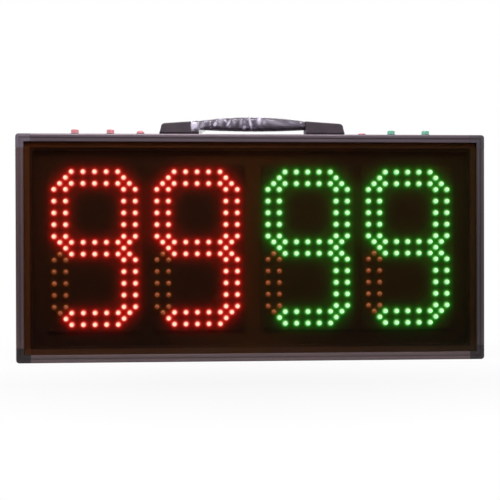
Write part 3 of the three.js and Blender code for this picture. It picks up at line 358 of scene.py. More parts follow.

# Clear wrapping film, as dense as an attribute says: its own haze and painted highlights and sheen
FILM_TINT, FILM_CLEAR, FILM_DENSEST, FILM_GRAIN = (0.85, 0.76, 0.95, 1), 0.04, 0.96, 2.2
film_look = Look("clear_film", roughness=0.16, Base_Color=FILM_TINT, Coat_Weight=0.3)
film_look.relief(film_look.speckle(FILM_GRAIN, detail=2.0), height=0.05)
film_density = film_look.ramp(film_look.attribute("haze_and_highlight"), FILM_CLEAR, FILM_DENSEST, start=0, end=1)
film_look.link(film_density, film_look.shader.inputs["Alpha"])

# Lamp colours before the smoked sheet tints them: a lamp's core, its light on the board, and its close spill

CORE = {"red": (4.8, 5.0, 8.3), "green": (1.25, 9.0, 8.6)}
LIGHT = {"red": (1.0, 0.0, 0.0), "green": (0.0, 1.0, 0.02)}
CLOSE = {"red": (6.0, 5.2, 8.3), "green": (2.2, 9.0, 9.4)}
# Painted lamp light: the glow round the unlit lamps, and the green cast in the green board's colour
UNLIT_HAZE = (0.19, 0.10, 0.0)
PANEL = {"red": (0.021, 0.019, 0.020), "green": (0.0165, 0.042, 0.024)}
DULL, FLECK = 0.15, 0.15  # specular level of the dark panels, and how far their colour varies
LAMP_SHELL = (0.6, 0.58, 0.58, 1)


def panel(name, roughness, size, height):
    """A dark matt panel, and the fleck of its colour."""
    look = Look(name, roughness, Specular_IOR_Level=DULL)
    grain = look.speckle(size)
    look.relief(grain, height)
    return look, look.mix(look.ramp(grain, 0, 1), (1 - FLECK,) * 3, (1 + FLECK,) * 3)


lamp_board_looks, lit_looks = {}, {}
for colour in ("red", "green"):
    look, fleck = panel("lamp_board_" + colour, roughness=0.5, size=0.8, height=0.02)
    look.colour(look.mix(1.0, PANEL[colour], fleck, "MULTIPLY"))
    look.light(("glow", LIGHT[colour]), ("bloom", CLOSE[colour]), ("haze", UNLIT_HAZE))
    lamp_board_looks[colour] = look

    look = Look("lamp_lit_" + colour, roughness=0.3, Base_Color=LAMP_SHELL)
    look.glow(look.mix(look.attribute("core"), LIGHT[colour], CORE[colour]))
    lit_looks[colour] = look

# Unlit lamps: their faint glow is painted stray light from the lit lamps
dark_lamp_look = plain(
    "lamp_unlit", (0.70, 0.58, 0.64), roughness=0.28, size=0.8, tint=0.08, height=0.01,
    Coat_Weight=0.4, Emission_Color=(0.88, 0.66, 0.62, 1), Emission_Strength=0.17,
)

# The tray takes some red light on its left and some green on its right
TRAY_MIDDLE, TRAY_RIGHT = (0.046, 0.048, 0.026), (0.010, 0.034, 0.021)
TRAY_GREEN_FROM, TRAY_GREEN_TO = -0.02, 0.30  # metres across the board
TRAY_MIDDLE_FROM, TRAY_MIDDLE_TO = 0.02, 0.12  # metres off its middle
tray_look, tray_fleck = panel("tray_plastic", roughness=0.55, size=0.9, height=0.03)
tray_x = tray_look.split(tray_look.place)[0]
off_middle = tray_look.ramp(tray_look.reckon("ABSOLUTE", tray_x), 0, 1, TRAY_MIDDLE_FROM, TRAY_MIDDLE_TO)
tray_left = tray_look.mix(off_middle, TRAY_MIDDLE, PANEL["red"])
tray_tone = tray_look.mix(tray_look.ramp(tray_x, 0, 1, TRAY_GREEN_FROM, TRAY_GREEN_TO), tray_left, TRAY_RIGHT)
tray_look.colour(tray_look.mix(1.0, tray_tone, tray_fleck, "MULTIPLY"))
tray_look.light(("glow_red", LIGHT["red"]), ("glow_green", LIGHT["green"]))

dress(smoke, "front_window")
dress(cover_look, "rear_cover")
dress(board_look, "control_board")
dress(cell_look, "battery_pack")
dress(steel_look, "battery_clip", "handle_anchor_left", "handle_anchor_right", "charge_socket_nut")
dress(cap_look, "handle_cap_left", "handle_cap_right", "handle_base_left", "handle_base_right")
dress(grey_lead, "display_ribbon", "button_harness")
dress(red_lead, "battery_lead")
dress(black_lead, "charge_lead")
nodes["front_window"].visible_shadow = False  # the clear sheet lets the light through


# Mesh helpers, in millimetres

def build(name, points, faces, look, sharp=40.0):
    """A mesh object from points in millimetres, with edges sharper than the given angle kept sharp."""
    mesh = bpy.data.meshes.new(name)
    mesh.from_pydata((np.asarray(points, float) * MM).tolist(), [], [list(face) for face in faces])
    mesh.materials.append(look.material)
    made = bmesh.new()
    made.from_mesh(mesh)
    bmesh.ops.recalc_face_normals(made, faces=made.faces)
    limit = math.radians(sharp)
    for edge in made.edges:
        edge.smooth = len(edge.link_faces) == 2 and edge.calc_face_angle(0.0) < limit
    for face in made.faces:
        face.smooth = True
    made.to_mesh(mesh)
    made.free()
    return add_object(name, mesh)


def mark(obj, name, values):
    """Gives each point of a mesh a value that its material reads."""
    layer = obj.data.attributes.new(name, "FLOAT", "POINT")
    layer.data.foreach_set("value", np.asarray(values, np.float32))


def revolve(profile, sides):
    """Points and faces of a solid of revolution round Z.

    Profile points are (radius, height), and a radius of 0 closes it.
    """
    points, rings = [], []
    for radius, height in profile:
        if radius == 0:
            rings.append([len(points)])
            points.append((0, 0, height))
            continue
        rings.append(list(range(len(points), len(points) + sides)))
        for side in range(sides):
            angle = 2 * math.pi * side / sides
            points.append((radius * math.cos(angle), radius * math.sin(angle), height))
    faces = []
    for low, high in zip(rings, rings[1:]):
        for side in range(sides):
            a, b = low[side % len(low)], low[(side + 1) % len(low)]
            c, d = high[(side + 1) % len(high)], high[side % len(high)]
            faces.append([v for i, v in enumerate((a, b, c, d)) if v not in (a, b, c, d)[:i]])
    return np.array(points, float), faces


def turned(points, forward):
    """Points with their Z axis laid along Y: out of the front if forward is true, else out of the back."""
    x, y, z = points.T
    return np.column_stack((x, -z if forward else z, y))


def merged(parts):
    """Points and faces of several (points, faces) as one."""
    points, faces, start = [], [], 0
    for part_points, part_faces in parts:
        points.append(part_points)
        faces.extend([[v + start for v in face] for face in part_faces])
        start += len(part_points)
    return np.concatenate(points), faces


def arc(centre_radius, centre_height, radius, start, end, steps):
    """Profile points on an arc, with angles in degrees from outwards to upwards."""
    angles = [math.radians(start + (end - start) * i / steps) for i in range(steps + 1)]
    return [(centre_radius + radius * math.cos(a), centre_height + radius * math.sin(a)) for a in angles]


def joined(loops, closed=False):
    """Faces between neighbouring loops, each a list of point numbers. The last joins the first if closed."""
    faces = []
    for one, other in zip(loops, loops[1:] + loops[:1] if closed else loops[1:]):
        for i in range(len(one)):
            j = (i + 1) % len(one)
            faces.append([one[i], one[j], other[j], other[i]])
    return faces


def numbered(count, size):
    """Point numbers of a count of loops that follow each other."""
    return [list(range(start * size, (start + 1) * size)) for start in range(count)]


def bar(low, high):
    (x0, y0, z0), (x1, y1, z1) = low, high
    points = [(x, y, z) for x in (x0, x1) for y in (y0, y1) for z in (z0, z1)]
    faces = [[0, 1, 3, 2], [4, 6, 7, 5], [0, 4, 5, 1], [2, 3, 7, 6], [0, 2, 6, 4], [1, 5, 7, 3]]
    return np.array(points, float), faces


LUG_WIDTH, LUG_THICKNESS, LUG_SUNK = 2.2, 0.8, 0.5


def lugs(radius, floor, length):
    """The two soldering lugs under a barrel of the given radius and floor."""
    pair = []
    for x in (-radius / 2, radius / 2):
        low = (x - LUG_WIDTH / 2, -LUG_THICKNESS / 2, floor - length)
        pair.append(bar(low, (x + LUG_WIDTH / 2, LUG_THICKNESS / 2, floor + LUG_SUNK)))
    return pair


# Digits: seven segments of twelve lamps on a grid of half pitches

PITCH_ACROSS, PITCH_UP = 15.08, 15.385
SEGMENTS = {  # column and row of the middle, and whether it runs upright
    "A": (7, 1, False), "G": (7, 13, False), "D": (7, 25, False),
    "F": (1, 7, True), "B": (13, 7, True), "E": (1, 19, True), "C": (13, 19, True),
}
GRID_MIDDLE = (7, 13)
SEGMENT_SPOTS = [(-5, 0), (5, 0)] + [(along, beside) for along in (-4, -2, 0, 2, 4) for beside in (-1, 1)]
NINE, NOT_IN_NINE = "ABCDFG", "E"
DIGITS = {"out_tens": "red", "out_units": "red", "in_tens": "green", "in_units": "green"}
DIGIT_FRONT, DIGIT_BACK = 12.0, 13.6  # depths behind the front face
DIGIT_WIDTH, _, DIGIT_HEIGHT = extent("out_tens_digit")
DIGIT_ROUND, DIGIT_STEP = 3.0, 1.0
DIGIT_PLACES = {name: middle(name + "_digit")[0] for name in DIGITS}
HEADER_LOW, HEADER_HIGH = (-10.0, DIGIT_BACK - 0.2, 41.0), (10.0, DIGIT_BACK + 5.5, 49.0)  # the connector
LAMP_RADIUS, LAMP_HEIGHT, LAMP_SIDES, LAMP_DOME_STEPS = 2.5, 6.0, 14, 5
LAMP_FLANGE, LAMP_FLANGE_HEIGHT = 2.85, 1.0
CORE_FROM, CORE_OVER = 3.4, 1.5  # height at which a lamp turns bright, and over which it does


def lamp_places(letters):
    places = []
    for letter in letters:
        column, row, upright = SEGMENTS[letter]
        for along, beside in SEGMENT_SPOTS:
            across, down = (beside, along) if upright else (along, beside)
            x = (column + across - GRID_MIDDLE[0]) * PITCH_ACROSS / 2
            z = (GRID_MIDDLE[1] - row - down) * PITCH_UP / 2
            places.append((x, z))
    return np.array(places)


LIT, UNLIT = lamp_places(NINE), lamp_places(NOT_IN_NINE)


def lamps_at(places, foot=0.0):
    """Lamps as one mesh in (x, depth, z), and how bright each point is: foot at its foot, 1 on its dome."""
    profile = [(0, 0), (LAMP_FLANGE, 0), (LAMP_FLANGE, LAMP_FLANGE_HEIGHT), (LAMP_RADIUS, LAMP_FLANGE_HEIGHT)]
    dome = arc(0, LAMP_HEIGHT - LAMP_RADIUS, LAMP_RADIUS, 0, 90, LAMP_DOME_STEPS)
    shape, faces = revolve([*profile, *dome[:-1], (0, LAMP_HEIGHT)], LAMP_SIDES)
    lying = turned(shape, True)
    points, all_faces = merged([(lying + (x, DIGIT_FRONT, z), faces) for x, z in places])
    rise = np.clip((np.tile(shape[:, 2], len(places)) - CORE_FROM) / CORE_OVER, 0, 1)
    return points, all_faces, foot + (1 - foot) * rise


# Lamp light on the boards, in millimetres from a lamp: near strength and reach, far strength and reach,
# faint strength, and the strength and reach of the spill close by
GLOW = {"red": (0.8, 1.6, 0.86, 5.8, 0.034), "green": (3.4, 1.05, 0.64, 5.9, 0.029)}
FAINT_REACH, FAINT_MOST = 16.0, 1.9
FAR_POWER, FAINT_POWER = 1.5, 2
SPILL = {"red": (0.26, 1.12), "green": (0.36, 1.2)}
SPILL_EDGE, HAZE_REACH = 2.4, 2.0
LIT_LAMPS = {
    colour: np.concatenate([LIT + (x, 0) for name, x in DIGIT_PLACES.items() if DIGITS[name] == colour])
    for colour in ("red", "green")
}


def distances(points, lamps):
    return [np.hypot(points[:, 0] - x, points[:, 1] - z) for x, z in lamps]


def glow_at(points, colour):
    """How much light of a colour each place takes from all its lit lamps, with the board's middle at 0."""
    near, near_reach, far, far_reach, least = GLOW[colour]
    close, wide, faint = (np.zeros(len(points)) for _ in range(3))
    for d in distances(points, LIT_LAMPS[colour]):
        close += np.exp(-np.maximum(d - LAMP_RADIUS, 0) / near_reach)
        wide += np.exp(-((d / far_reach) ** 2))
        faint += np.exp(-((d / FAINT_REACH) ** 2))
    return near * close + far * wide ** FAR_POWER + least * np.minimum(faint, FAINT_MOST) ** FAINT_POWER


def spill_at(points, lamps, reach):
    """The lamps' haze on the board close round each lamp, from 0 to 1."""
    total = np.zeros(len(points))
    for d in distances(points, lamps):
        total = np.maximum(total, np.exp(-((np.maximum(d - SPILL_EDGE, 0) / reach) ** 2)))
    return total


def plate_grid(width, height, radius, step):
    """Points of a flat grid with rounded corners, and its columns and rows."""
    columns, rows = max(2, round(width / step)), max(2, round(height / step))
    xs = np.linspace(-width / 2, width / 2, columns + 1)
    zs = np.linspace(-height / 2, height / 2, rows + 1)
    grid = np.array([(x, z) for z in zs for x in xs])
    inner = np.array([width / 2 - radius, height / 2 - radius])
    past = np.maximum(np.abs(grid) - inner, 0)
    reach = np.hypot(past[:, 0], past[:, 1])
    corner = reach > radius
    scale = radius / np.maximum(reach, radius)
    pulled = np.sign(grid) * (np.minimum(np.abs(grid), inner) + past * scale[:, None])
    return np.where(corner[:, None], pulled, grid), columns, rows


def slab(width, height, radius, front, back, step):
    """A plate with a fine front: points in (x, depth, z) about its middle, and its faces."""
    grid, columns, rows = plate_grid(width, height, radius, step)
    number = np.arange(len(grid)).reshape(rows + 1, columns + 1)
    faces = []
    for low, high in zip(number.tolist(), number[1:].tolist()):
        faces += [[low[c], low[c + 1], high[c + 1], high[c]] for c in range(columns)]
    rim = [*number[0, :-1], *number[:-1, -1], *number[-1, :0:-1], *number[:0:-1, 0]]
    points = [(x, front, z) for x, z in grid] + [(grid[i][0], back, grid[i][1]) for i in rim]
    back_rim = [len(grid) + i for i in range(len(rim))]
    faces += joined([[int(i) for i in rim], back_rim]) + [back_rim]
    return np.array(points, float), faces


BACK_GLOW = 0.3  # the share of the light that reaches a board's back edge

for name, colour in DIGITS.items():
    place = (DIGIT_PLACES[name], FRONT_Y, MIDDLE_Z)
    points, faces = slab(DIGIT_WIDTH, DIGIT_HEIGHT, DIGIT_ROUND, DIGIT_FRONT, DIGIT_BACK, DIGIT_STEP)
    header = bar(HEADER_LOW, HEADER_HIGH)
    flat = points[:, [0, 2]]
    front = points[:, 1] < DIGIT_BACK
    spill, spill_reach = SPILL[colour]
    light = {
        "glow": glow_at(flat + (place[0], 0), colour) * np.where(front, 1.0, BACK_GLOW),
        "bloom": spill * spill_at(flat, LIT, spill_reach) * front,
        "haze": spill_at(flat, UNLIT, HAZE_REACH) * front,
    }
    points, faces = merged([(points, faces), header])
    board = build(name + "_board", points + place, faces, lamp_board_looks[colour])
    for shade_name, values in light.items():
        mark(board, shade_name, np.concatenate([values, np.zeros(len(header[0]))]))

    points, faces, core = lamps_at(LIT, spill)
    lit = build(name + "_lamps_lit", points + place, faces, lit_looks[colour])
    mark(lit, "core", core)
    points, faces, _ = lamps_at(UNLIT)
    dark = build(name + "_lamps_dark", points + place, faces, dark_lamp_look)
    for obj in (board, lit, dark):
        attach(obj, "case")
        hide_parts(name + "_digit")

# Tray: a folded sheet with a rim, a wall and a floor, and the melted pins that hold the digit boards

TRAY_RIM_FRONT, TRAY_RIM_BACK, TRAY_RIM_WIDTH = 7.3, 8.8, 10.0
TRAY_FLOOR, TRAY_BACK, TRAY_WALL = 14.8, 16.3, 1.5
TRAY_ROUND, TRAY_ROUND_STEPS = 5.0, 6
TRAY_WIDTH, _, TRAY_HEIGHT = (side - 2 * TRAY_RIM_WIDTH for side in extent("display_tray"))
TRAY_LAP, TRAY_STEP = 1.0, 3.0  # how much wider the floor is than the wall's inside, and its grid
PAD_INSET, PAD_RADIUS, PAD_HEIGHT, PAD_SUNK, PAD_SIDES = 5.0, 3.0, 0.9, 0.5, 20
PIN_HEAD_RADIUS, PIN_HEAD_HEIGHT, PIN_SIDES = 1.65, 0.6, 16
PIN_ARC = dict(start=8, end=82, steps=4)
RIM_GLOW = 0.4  # the share of the light that reaches the rim


def rounded_loop(width, height, radius):
    loop = []
    for turn, (sx, sz) in enumerate([(1, 1), (-1, 1), (-1, -1), (1, -1)]):
        for x, z in arc(0, 0, radius, 90 * turn, 90 * (turn + 1), TRAY_ROUND_STEPS):
            loop.append((sx * (width / 2 - radius) + x, sz * (height / 2 - radius) + z))
    return loop


def tray_shell():
    """The rim and the wall as one closed section swept round the tray, in (x, depth, z)."""
    section = [  # how far outside the tray's inner wall, and depth
        (0, TRAY_RIM_FRONT), (TRAY_RIM_WIDTH, TRAY_RIM_FRONT), (TRAY_RIM_WIDTH, TRAY_RIM_BACK),
        (TRAY_WALL, TRAY_RIM_BACK), (TRAY_WALL, TRAY_BACK), (0, TRAY_BACK),
    ]
    loops = []
    for out, depth in section:
        loop = rounded_loop(TRAY_WIDTH + 2 * out, TRAY_HEIGHT + 2 * out, TRAY_ROUND + out)
        loops.append([(x, depth, z) for x, z in loop])
    faces = joined(numbered(len(loops), len(loops[0])), closed=True)
    return np.array([point for loop in loops for point in loop], float), faces


pad_profile = [(0, -PAD_SUNK), (PAD_RADIUS, -PAD_SUNK), (PAD_RADIUS, PAD_HEIGHT), (0, PAD_HEIGHT)]
pin_profile = [(0, 0), (1, 0), *arc(0, 0, 1, **PIN_ARC), (0, 1)]
pad, pad_faces = revolve(pad_profile, PAD_SIDES)
pin, pin_faces = revolve([(r * PIN_HEAD_RADIUS, h * PIN_HEAD_HEIGHT) for r, h in pin_profile], PIN_SIDES)
tray_floor = slab(TRAY_WIDTH + TRAY_LAP, TRAY_HEIGHT + TRAY_LAP, TRAY_ROUND, TRAY_FLOOR, TRAY_BACK, TRAY_STEP)
parts = [tray_floor, tray_shell()]
for board_x in DIGIT_PLACES.values():
    for sx in (-1, 1):
        for sz in (-1, 1):
            x = board_x + sx * (DIGIT_WIDTH / 2 - PAD_INSET)
            z = sz * (DIGIT_HEIGHT / 2 - PAD_INSET)
            parts.append((turned(pad, True) + (x, TRAY_FLOOR, z), pad_faces))
            parts.append((turned(pin, True) + (x, DIGIT_FRONT, z), pin_faces))
points, faces = merged(parts)
tray = build("display_tray_shell", points + (0, FRONT_Y, MIDDLE_Z), faces, tray_look)
for colour in ("red", "green"):
    total = glow_at(points[:, [0, 2]], colour)
    mark(tray, "glow_" + colour, np.where(points[:, 1] <= TRAY_RIM_BACK, total * RIM_GLOW, total))
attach(tray, "case")
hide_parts("display_tray")

# Push buttons, with heights from the rail's top

BUTTONS = {  # colour, and whether the top is domed
    "out_tens": ("red", False), "out_units": ("red", False), "clear": ("red", True),
    "power": ("red", True), "in_tens": ("green", False), "in_units": ("green", False),
}
CAP_RADIUS = extent("clear_button_cap")[0] / 2
DOME_ROUND, DOME_DROP, DOME_STEPS = 4.0, 2.8, 9
RIM_ROUND, RIM_STEPS = 1.3, 6
DISH_EDGE, DISH_MIDDLE = (2.6, 0.08), (1.2, 0.25)  # radius and depth of the shallow dish in a flat cap
FLANGE_RADIUS, FLANGE_TOP, FLANGE_BEVEL = 7.0, 2.2, 0.5
BARREL_RADIUS, BARREL_FLOOR, BORE_RADIUS, BORE_FLOOR, BORE_BEVEL = 5.95, -14.6, 5.3, -7.6, 0.25
BUTTON_LUG, BUTTON_SIDES = 4.0, 48


def crown(rise, domed):
    """The upper part of a cap's profile, from its side to near its middle."""
    if domed:
        unit = arc(0, 0, 1, 0, 90, DOME_STEPS)
        return [(CAP_RADIUS - DOME_ROUND * (1 - c), rise - DOME_DROP * (1 - s)) for c, s in unit]
    rim = arc(CAP_RADIUS - RIM_ROUND, rise - RIM_ROUND, RIM_ROUND, 0, 90, RIM_STEPS)
    return rim + [(radius, rise - depth) for radius, depth in (DISH_EDGE, DISH_MIDDLE)]


bezel_profile = [
    (0, BARREL_FLOOR), (BARREL_RADIUS, BARREL_FLOOR), (BARREL_RADIUS, FIT), (FLANGE_RADIUS, FIT),
    (FLANGE_RADIUS, FLANGE_TOP - FLANGE_BEVEL), (FLANGE_RADIUS - FLANGE_BEVEL, FLANGE_TOP),
    (BORE_RADIUS + BORE_BEVEL, FLANGE_TOP), (BORE_RADIUS, FLANGE_TOP - BORE_BEVEL),
    (BORE_RADIUS, BORE_FLOOR), (0, BORE_FLOOR),
]
for name, (colour, domed) in BUTTONS.items():
    place = (middle(name + "_button_cap")[0], 0, RAIL_TOP)
    skirt, rise = (corner[2] - RAIL_TOP for corner in corners(name + "_button_cap"))
    top = crown(rise, domed)
    points, faces = revolve([(0, skirt), (CAP_RADIUS, skirt), *top, (0, top[-1][1])], BUTTON_SIDES)
    cap = build(name + "_cap", points + place, faces, cap_looks[colour], sharp=50)
    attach(cap, name + "_button")
    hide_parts(name + "_button_cap")

    barrel = revolve(bezel_profile, BUTTON_SIDES)
    points, faces = merged([barrel, *lugs(BARREL_RADIUS, BARREL_FLOOR, BUTTON_LUG)])
    body = build(name + "_bezel", points + place, faces, black_look, sharp=30)
    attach(body, "case")
    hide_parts(name + "_button_body")
    dress(steel_look, name + "_button_nut")

# Strap handle: x in millimetres from the board's middle, heights above the rail

GRIP_HALF, FILM_HALF = 70.2, 70.0
FILM_OVER_CAP = 81.2  # the film's left end lies over the left cap's inner end
BAND_TIP, BAND_BEND = corners("handle_band")[1][0], 88.0
BAND_WIDTH, BAND_THICKNESS = 20.0, 1.5
BAND_MID, BAND_END = 12.8, 8.6
GRIP_WIDTH, GRIP_END_WIDTH = 26.0, 24.6
UNDER_MID, UNDER_END, OVER_MID, OVER_END = 6.55, 1.85, 11.2, 8.75  # from the band's middle line
SQUARE = 0.6  # 1 makes the section an ellipse, and less makes it squarer
END_ROUND, END_SHRINK = 1.0, 0.05  # over its last millimetre the grip shrinks by this share
GRIP_STEPS, GRIP_SIDES, BAND_STEPS, FILM_STEP, FILM_SIDES = 80, 64, 60, 0.55, 150


def toward(value, goal, share):
    return value + (goal - value) * share


def band_rise(x):
    return toward(BAND_MID, BAND_END, min(abs(x) / BAND_BEND, 1) ** 2)


def grip_section(x):
    """Half width, underside and top of the grip at x."""
    share = (x / GRIP_HALF) ** 2
    bottom = band_rise(x) - toward(UNDER_MID, UNDER_END, share)
    top = band_rise(x) + toward(OVER_MID, OVER_END, share)
    return toward(GRIP_WIDTH, GRIP_END_WIDTH, share) / 2, bottom, top


def squarish(angle):
    c, s = math.cos(angle), math.sin(angle)
    return math.copysign(abs(c) ** SQUARE, c), math.copysign(abs(s) ** SQUARE, s)


def tube(stations, section, sides, capped=True):
    """A skin over closed sections: section(station, angle) gives the point. Ends are closed if capped."""
    points = [section(s, 2 * math.pi * i / sides) for s in stations for i in range(sides)]
    loops = numbered(len(stations), sides)
    faces = joined(loops) + ([loops[0], loops[-1]] if capped else [])
    return np.array(points, float), faces


def half_places(end, steps, side):
    return [side * end * (1 - i / steps) for i in range(steps + 1)]


def grip_point(x, angle):
    half, bottom, top = grip_section(x)
    across, up = squarish(angle)
    shrink = 1 - END_SHRINK * max(0.0, abs(x) - (GRIP_HALF - END_ROUND)) ** 2
    return (x, half * across * shrink, RAIL_TOP + (bottom + top) / 2 + (top - bottom) / 2 * up * shrink)


def band_point(x, angle):
    """Corners of the flat band's section: a tube of four sides has its points a quarter turn apart."""
    corner = round(angle / (math.pi / 2))
    across, up = ((-1, -1), (1, -1), (1, 1), (-1, 1))[corner]
    return (x, across * BAND_WIDTH / 2, RAIL_TOP + band_rise(x) + up * BAND_THICKNESS / 2)


def blended(obj, side, *replaced):
    """Bakes a half of the strap's place into its mesh, and hides the CAD nodes that it replaces."""
    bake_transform(obj)
    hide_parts(*replaced)


# Wrapping film: ridges and hollows, in millimetres

LOOP = 76.0  # round the film
CREASE_COUNT, CREASE_MARGIN = 150, 2.0
CREASE_PLACES, CREASE_TURN = (-84, 70), (math.pi / 2, 0.55)
CREASE_LENGTHS, CREASE_WIDTHS, CREASE_HEIGHTS = (4, 17), (0.7, 1.6), (0.25, 0.9)
FILM_GAP, FILM_GAP_UNDER = 0.35, 0.35  # off the grip, and the share of the creases that the underside has
SWELL, SWELL_LENGTH, SWELL_ROUND, SWELL_LAYER = 0.45, 9.0, 6.0, 3.1
WRINKLE, WRINKLE_LENGTH, WRINKLE_ROUND, WRINKLE_LAYER = 0.18, 3.2, 20.0, 7.7

random.seed(SEED)
CREASES = [
    dict(
        x=random.uniform(*CREASE_PLACES), s=random.uniform(0, 1), turn=random.gauss(*CREASE_TURN),
        length=random.uniform(*CREASE_LENGTHS), width=random.uniform(*CREASE_WIDTHS),
        height=random.uniform(*CREASE_HEIGHTS),
    )
    for _ in range(CREASE_COUNT)
]

# Painted highlights, where the film is made dense and pale to stand for the light it catches: x and height
# from the grip's middle, half length, half width, lean from upright to the right in degrees, and how strong
PATCHES = [
    (-2.8, 0.0, 8.0, 1.6, -13, 1.25), (9.0, 3.4, 4.6, 3.0, 5, 1.15), (15.5, 1.6, 3.2, 3.6, 0, 0.55),
    (30.0, 1.4, 19.0, 3.0, 99, 0.42), (24.0, 3.4, 10.0, 1.5, 98, 0.42), (53.0, 1.4, 8.0, 2.0, 94, 0.34),
    (64.0, 2.4, 1.9, 1.9, 0, 0.5), (-10.8, -5.3, 2.1, 1.7, 25, 2.1), (-15.2, 1.2, 4.2, 2.2, 4, 0.55),
    (-31.6, 0.2, 4.1, 1.5, 33, 1.2), (-35.4, 3.0, 3.4, 1.4, -45, 0.7), (-42.5, 2.4, 3.6, 3.4, 0, 0.6),
    (-49.0, -0.3, 2.7, 1.7, 28, 1.7), (-55.8, 0.2, 4.2, 1.6, 5, 0.4), (-60.5, 3.2, 5.0, 2.2, 90, 0.42),
    (-66.0, 0.6, 5.0, 3.0, 60, 0.55), (-76.6, 1.8, 4.8, 4.0, 70, 1.6), (-78.6, -2.6, 3.2, 2.0, 10, 1.2),
    (-71.0, -3.2, 5.0, 2.6, 110, 0.42), (-64.5, -5.6, 3.6, 1.8, 110, 0.4), (-79.8, 5.4, 1.6, 1.6, 0, 1.0),
    (-23.5, 4.4, 5.0, 1.7, 90, 0.34), (-41.5, 5.0, 4.6, 1.5, 90, 0.5), (-10.6, 1.4, 2.8, 2.4, 0, 0.4),
]
PATCH_END, PATCH_FADE = 4, 0.02  # a patch ends at twice its half length and width, where it has faded
# The film's haze, in clouds and threads, is partly its own and partly painted sheen.
CLOUD_LENGTH, CLOUD_HEIGHT, CLOUD_FRONT, CLOUD_BACK = 5.5, 3.0, 2.0, 9.0  # size, and the noise's layers
THREAD_LENGTH, THREAD_HEIGHT, THREAD_FRONT, THREAD_BACK = 1.9, 5.0, 4.0, 7.0
HAZE_LEFT, HAZE_RIGHT, HAZE_CHANGE = 0.32, 0.12, 12  # the film is hazier left of this x
HAZE_EVEN, HAZE_CLOUD, HAZE_THREAD = 0.3, 1.4, 0.10
FILM_FRONT = 0.35  # the share of the half width up to which the film counts as its front


def film_noise(along, across, layer):
    """Smooth noise from -1 to 1. Each use has its own layer."""
    return noise.noise(Vector((along, across, layer)))


def crease_height(x, share):
    """How far the film stands off the grip at x and a share of the way round."""
    total = 0.0
    for c in CREASES:
        dx = x - c["x"]
        if abs(dx) > c["length"] + CREASE_MARGIN:
            continue
        ds = ((share - c["s"] + 0.5) % 1 - 0.5) * LOOP
        along = dx * math.cos(c["turn"]) + ds * math.sin(c["turn"])
        if abs(along) > c["length"]:
            continue
        beside = -dx * math.sin(c["turn"]) + ds * math.cos(c["turn"])
        fade = math.cos(along / c["length"] * math.pi / 2)
        total = max(total, c["height"] * fade * math.exp(-abs(beside) / c["width"]))
    swell = 0.5 + 0.5 * film_noise(x / SWELL_LENGTH, share * SWELL_ROUND, SWELL_LAYER)
    wrinkle = 0.5 + 0.5 * film_noise(x / WRINKLE_LENGTH, share * WRINKLE_ROUND, WRINKLE_LAYER)
    return FILM_GAP + total + SWELL * swell + WRINKLE * wrinkle


def haze_and_highlight_at(x, rise, front):
    """Film density at x and height off the grip's middle; only the front has patches of painted highlight."""
    total = 0.0
    for px, pz, length, width, lean, haze_and_highlight in PATCHES if front else []:
        turn = math.radians(lean)
        dx, dz = x - px, rise - pz
        along = (dx * math.sin(turn) + dz * math.cos(turn)) / length
        beside = (dx * math.cos(turn) - dz * math.sin(turn)) / width
        far = along * along + beside * beside
        if far < PATCH_END:
            total = max(total, haze_and_highlight * math.exp(-far) - PATCH_FADE)
    cloud = film_noise(x / CLOUD_LENGTH, rise / CLOUD_HEIGHT, CLOUD_FRONT if front else CLOUD_BACK)
    thread = film_noise(x / THREAD_LENGTH, rise / THREAD_HEIGHT, THREAD_FRONT if front else THREAD_BACK)
    haze = HAZE_LEFT if x < HAZE_CHANGE else HAZE_RIGHT
    return max(total, haze * (HAZE_EVEN + HAZE_CLOUD * cloud) + HAZE_THREAD * max(0.0, thread))


# The film's left end widens over the cap: where, to what half width, underside and top, and the top's slope
FLARE_FROM, FLARE_OVER = -59.0, 12.0
FLARE_HALF, FLARE_BOTTOM, FLARE_TOP, FLARE_TOP_AT, FLARE_SLOPE = 14.4, 2.2, 18.9, -70.0, 0.0635
FLARE_GROWTH = 0.5  # how much higher the creases are there
RAGGED, RAGGED_ROUND, RAGGED_LAYER = 0.4, 4, 1.0  # how ragged the film's edge is
UNDERSIDE = -0.4  # below this share of the half height the film lies flatter


def film_point(x, angle, hazes_and_highlights):
    """A point of the film, whose haze and painted highlight goes to the end of the list."""
    half, bottom, top = grip_section(max(-GRIP_HALF, min(GRIP_HALF, x)))
    across, up = squarish(angle)
    flare = max(0.0, min(1.0, (FLARE_FROM - x) / FLARE_OVER))
    flare = flare * flare * (3 - 2 * flare)
    half = toward(half, FLARE_HALF, flare)
    top = toward(top, FLARE_TOP + FLARE_SLOPE * (x - FLARE_TOP_AT), flare)
    bottom = toward(bottom, FLARE_BOTTOM, flare)
    hazes_and_highlights.append(max(0.0, haze_and_highlight_at(x, (top - bottom) / 2 * up, across < FILM_FRONT)))
    lift = crease_height(x, angle / (2 * math.pi))
    if up <= UNDERSIDE:
        lift = FILM_GAP + FILM_GAP_UNDER * (lift - FILM_GAP)
    lift *= 1 + FLARE_GROWTH * flare
    return (
        x + RAGGED * flare * film_noise(x, angle * RAGGED_ROUND, RAGGED_LAYER),
        (half + lift) * across,
        RAIL_TOP + (bottom + top) / 2 + ((top - bottom) / 2 + lift) * up,
    )


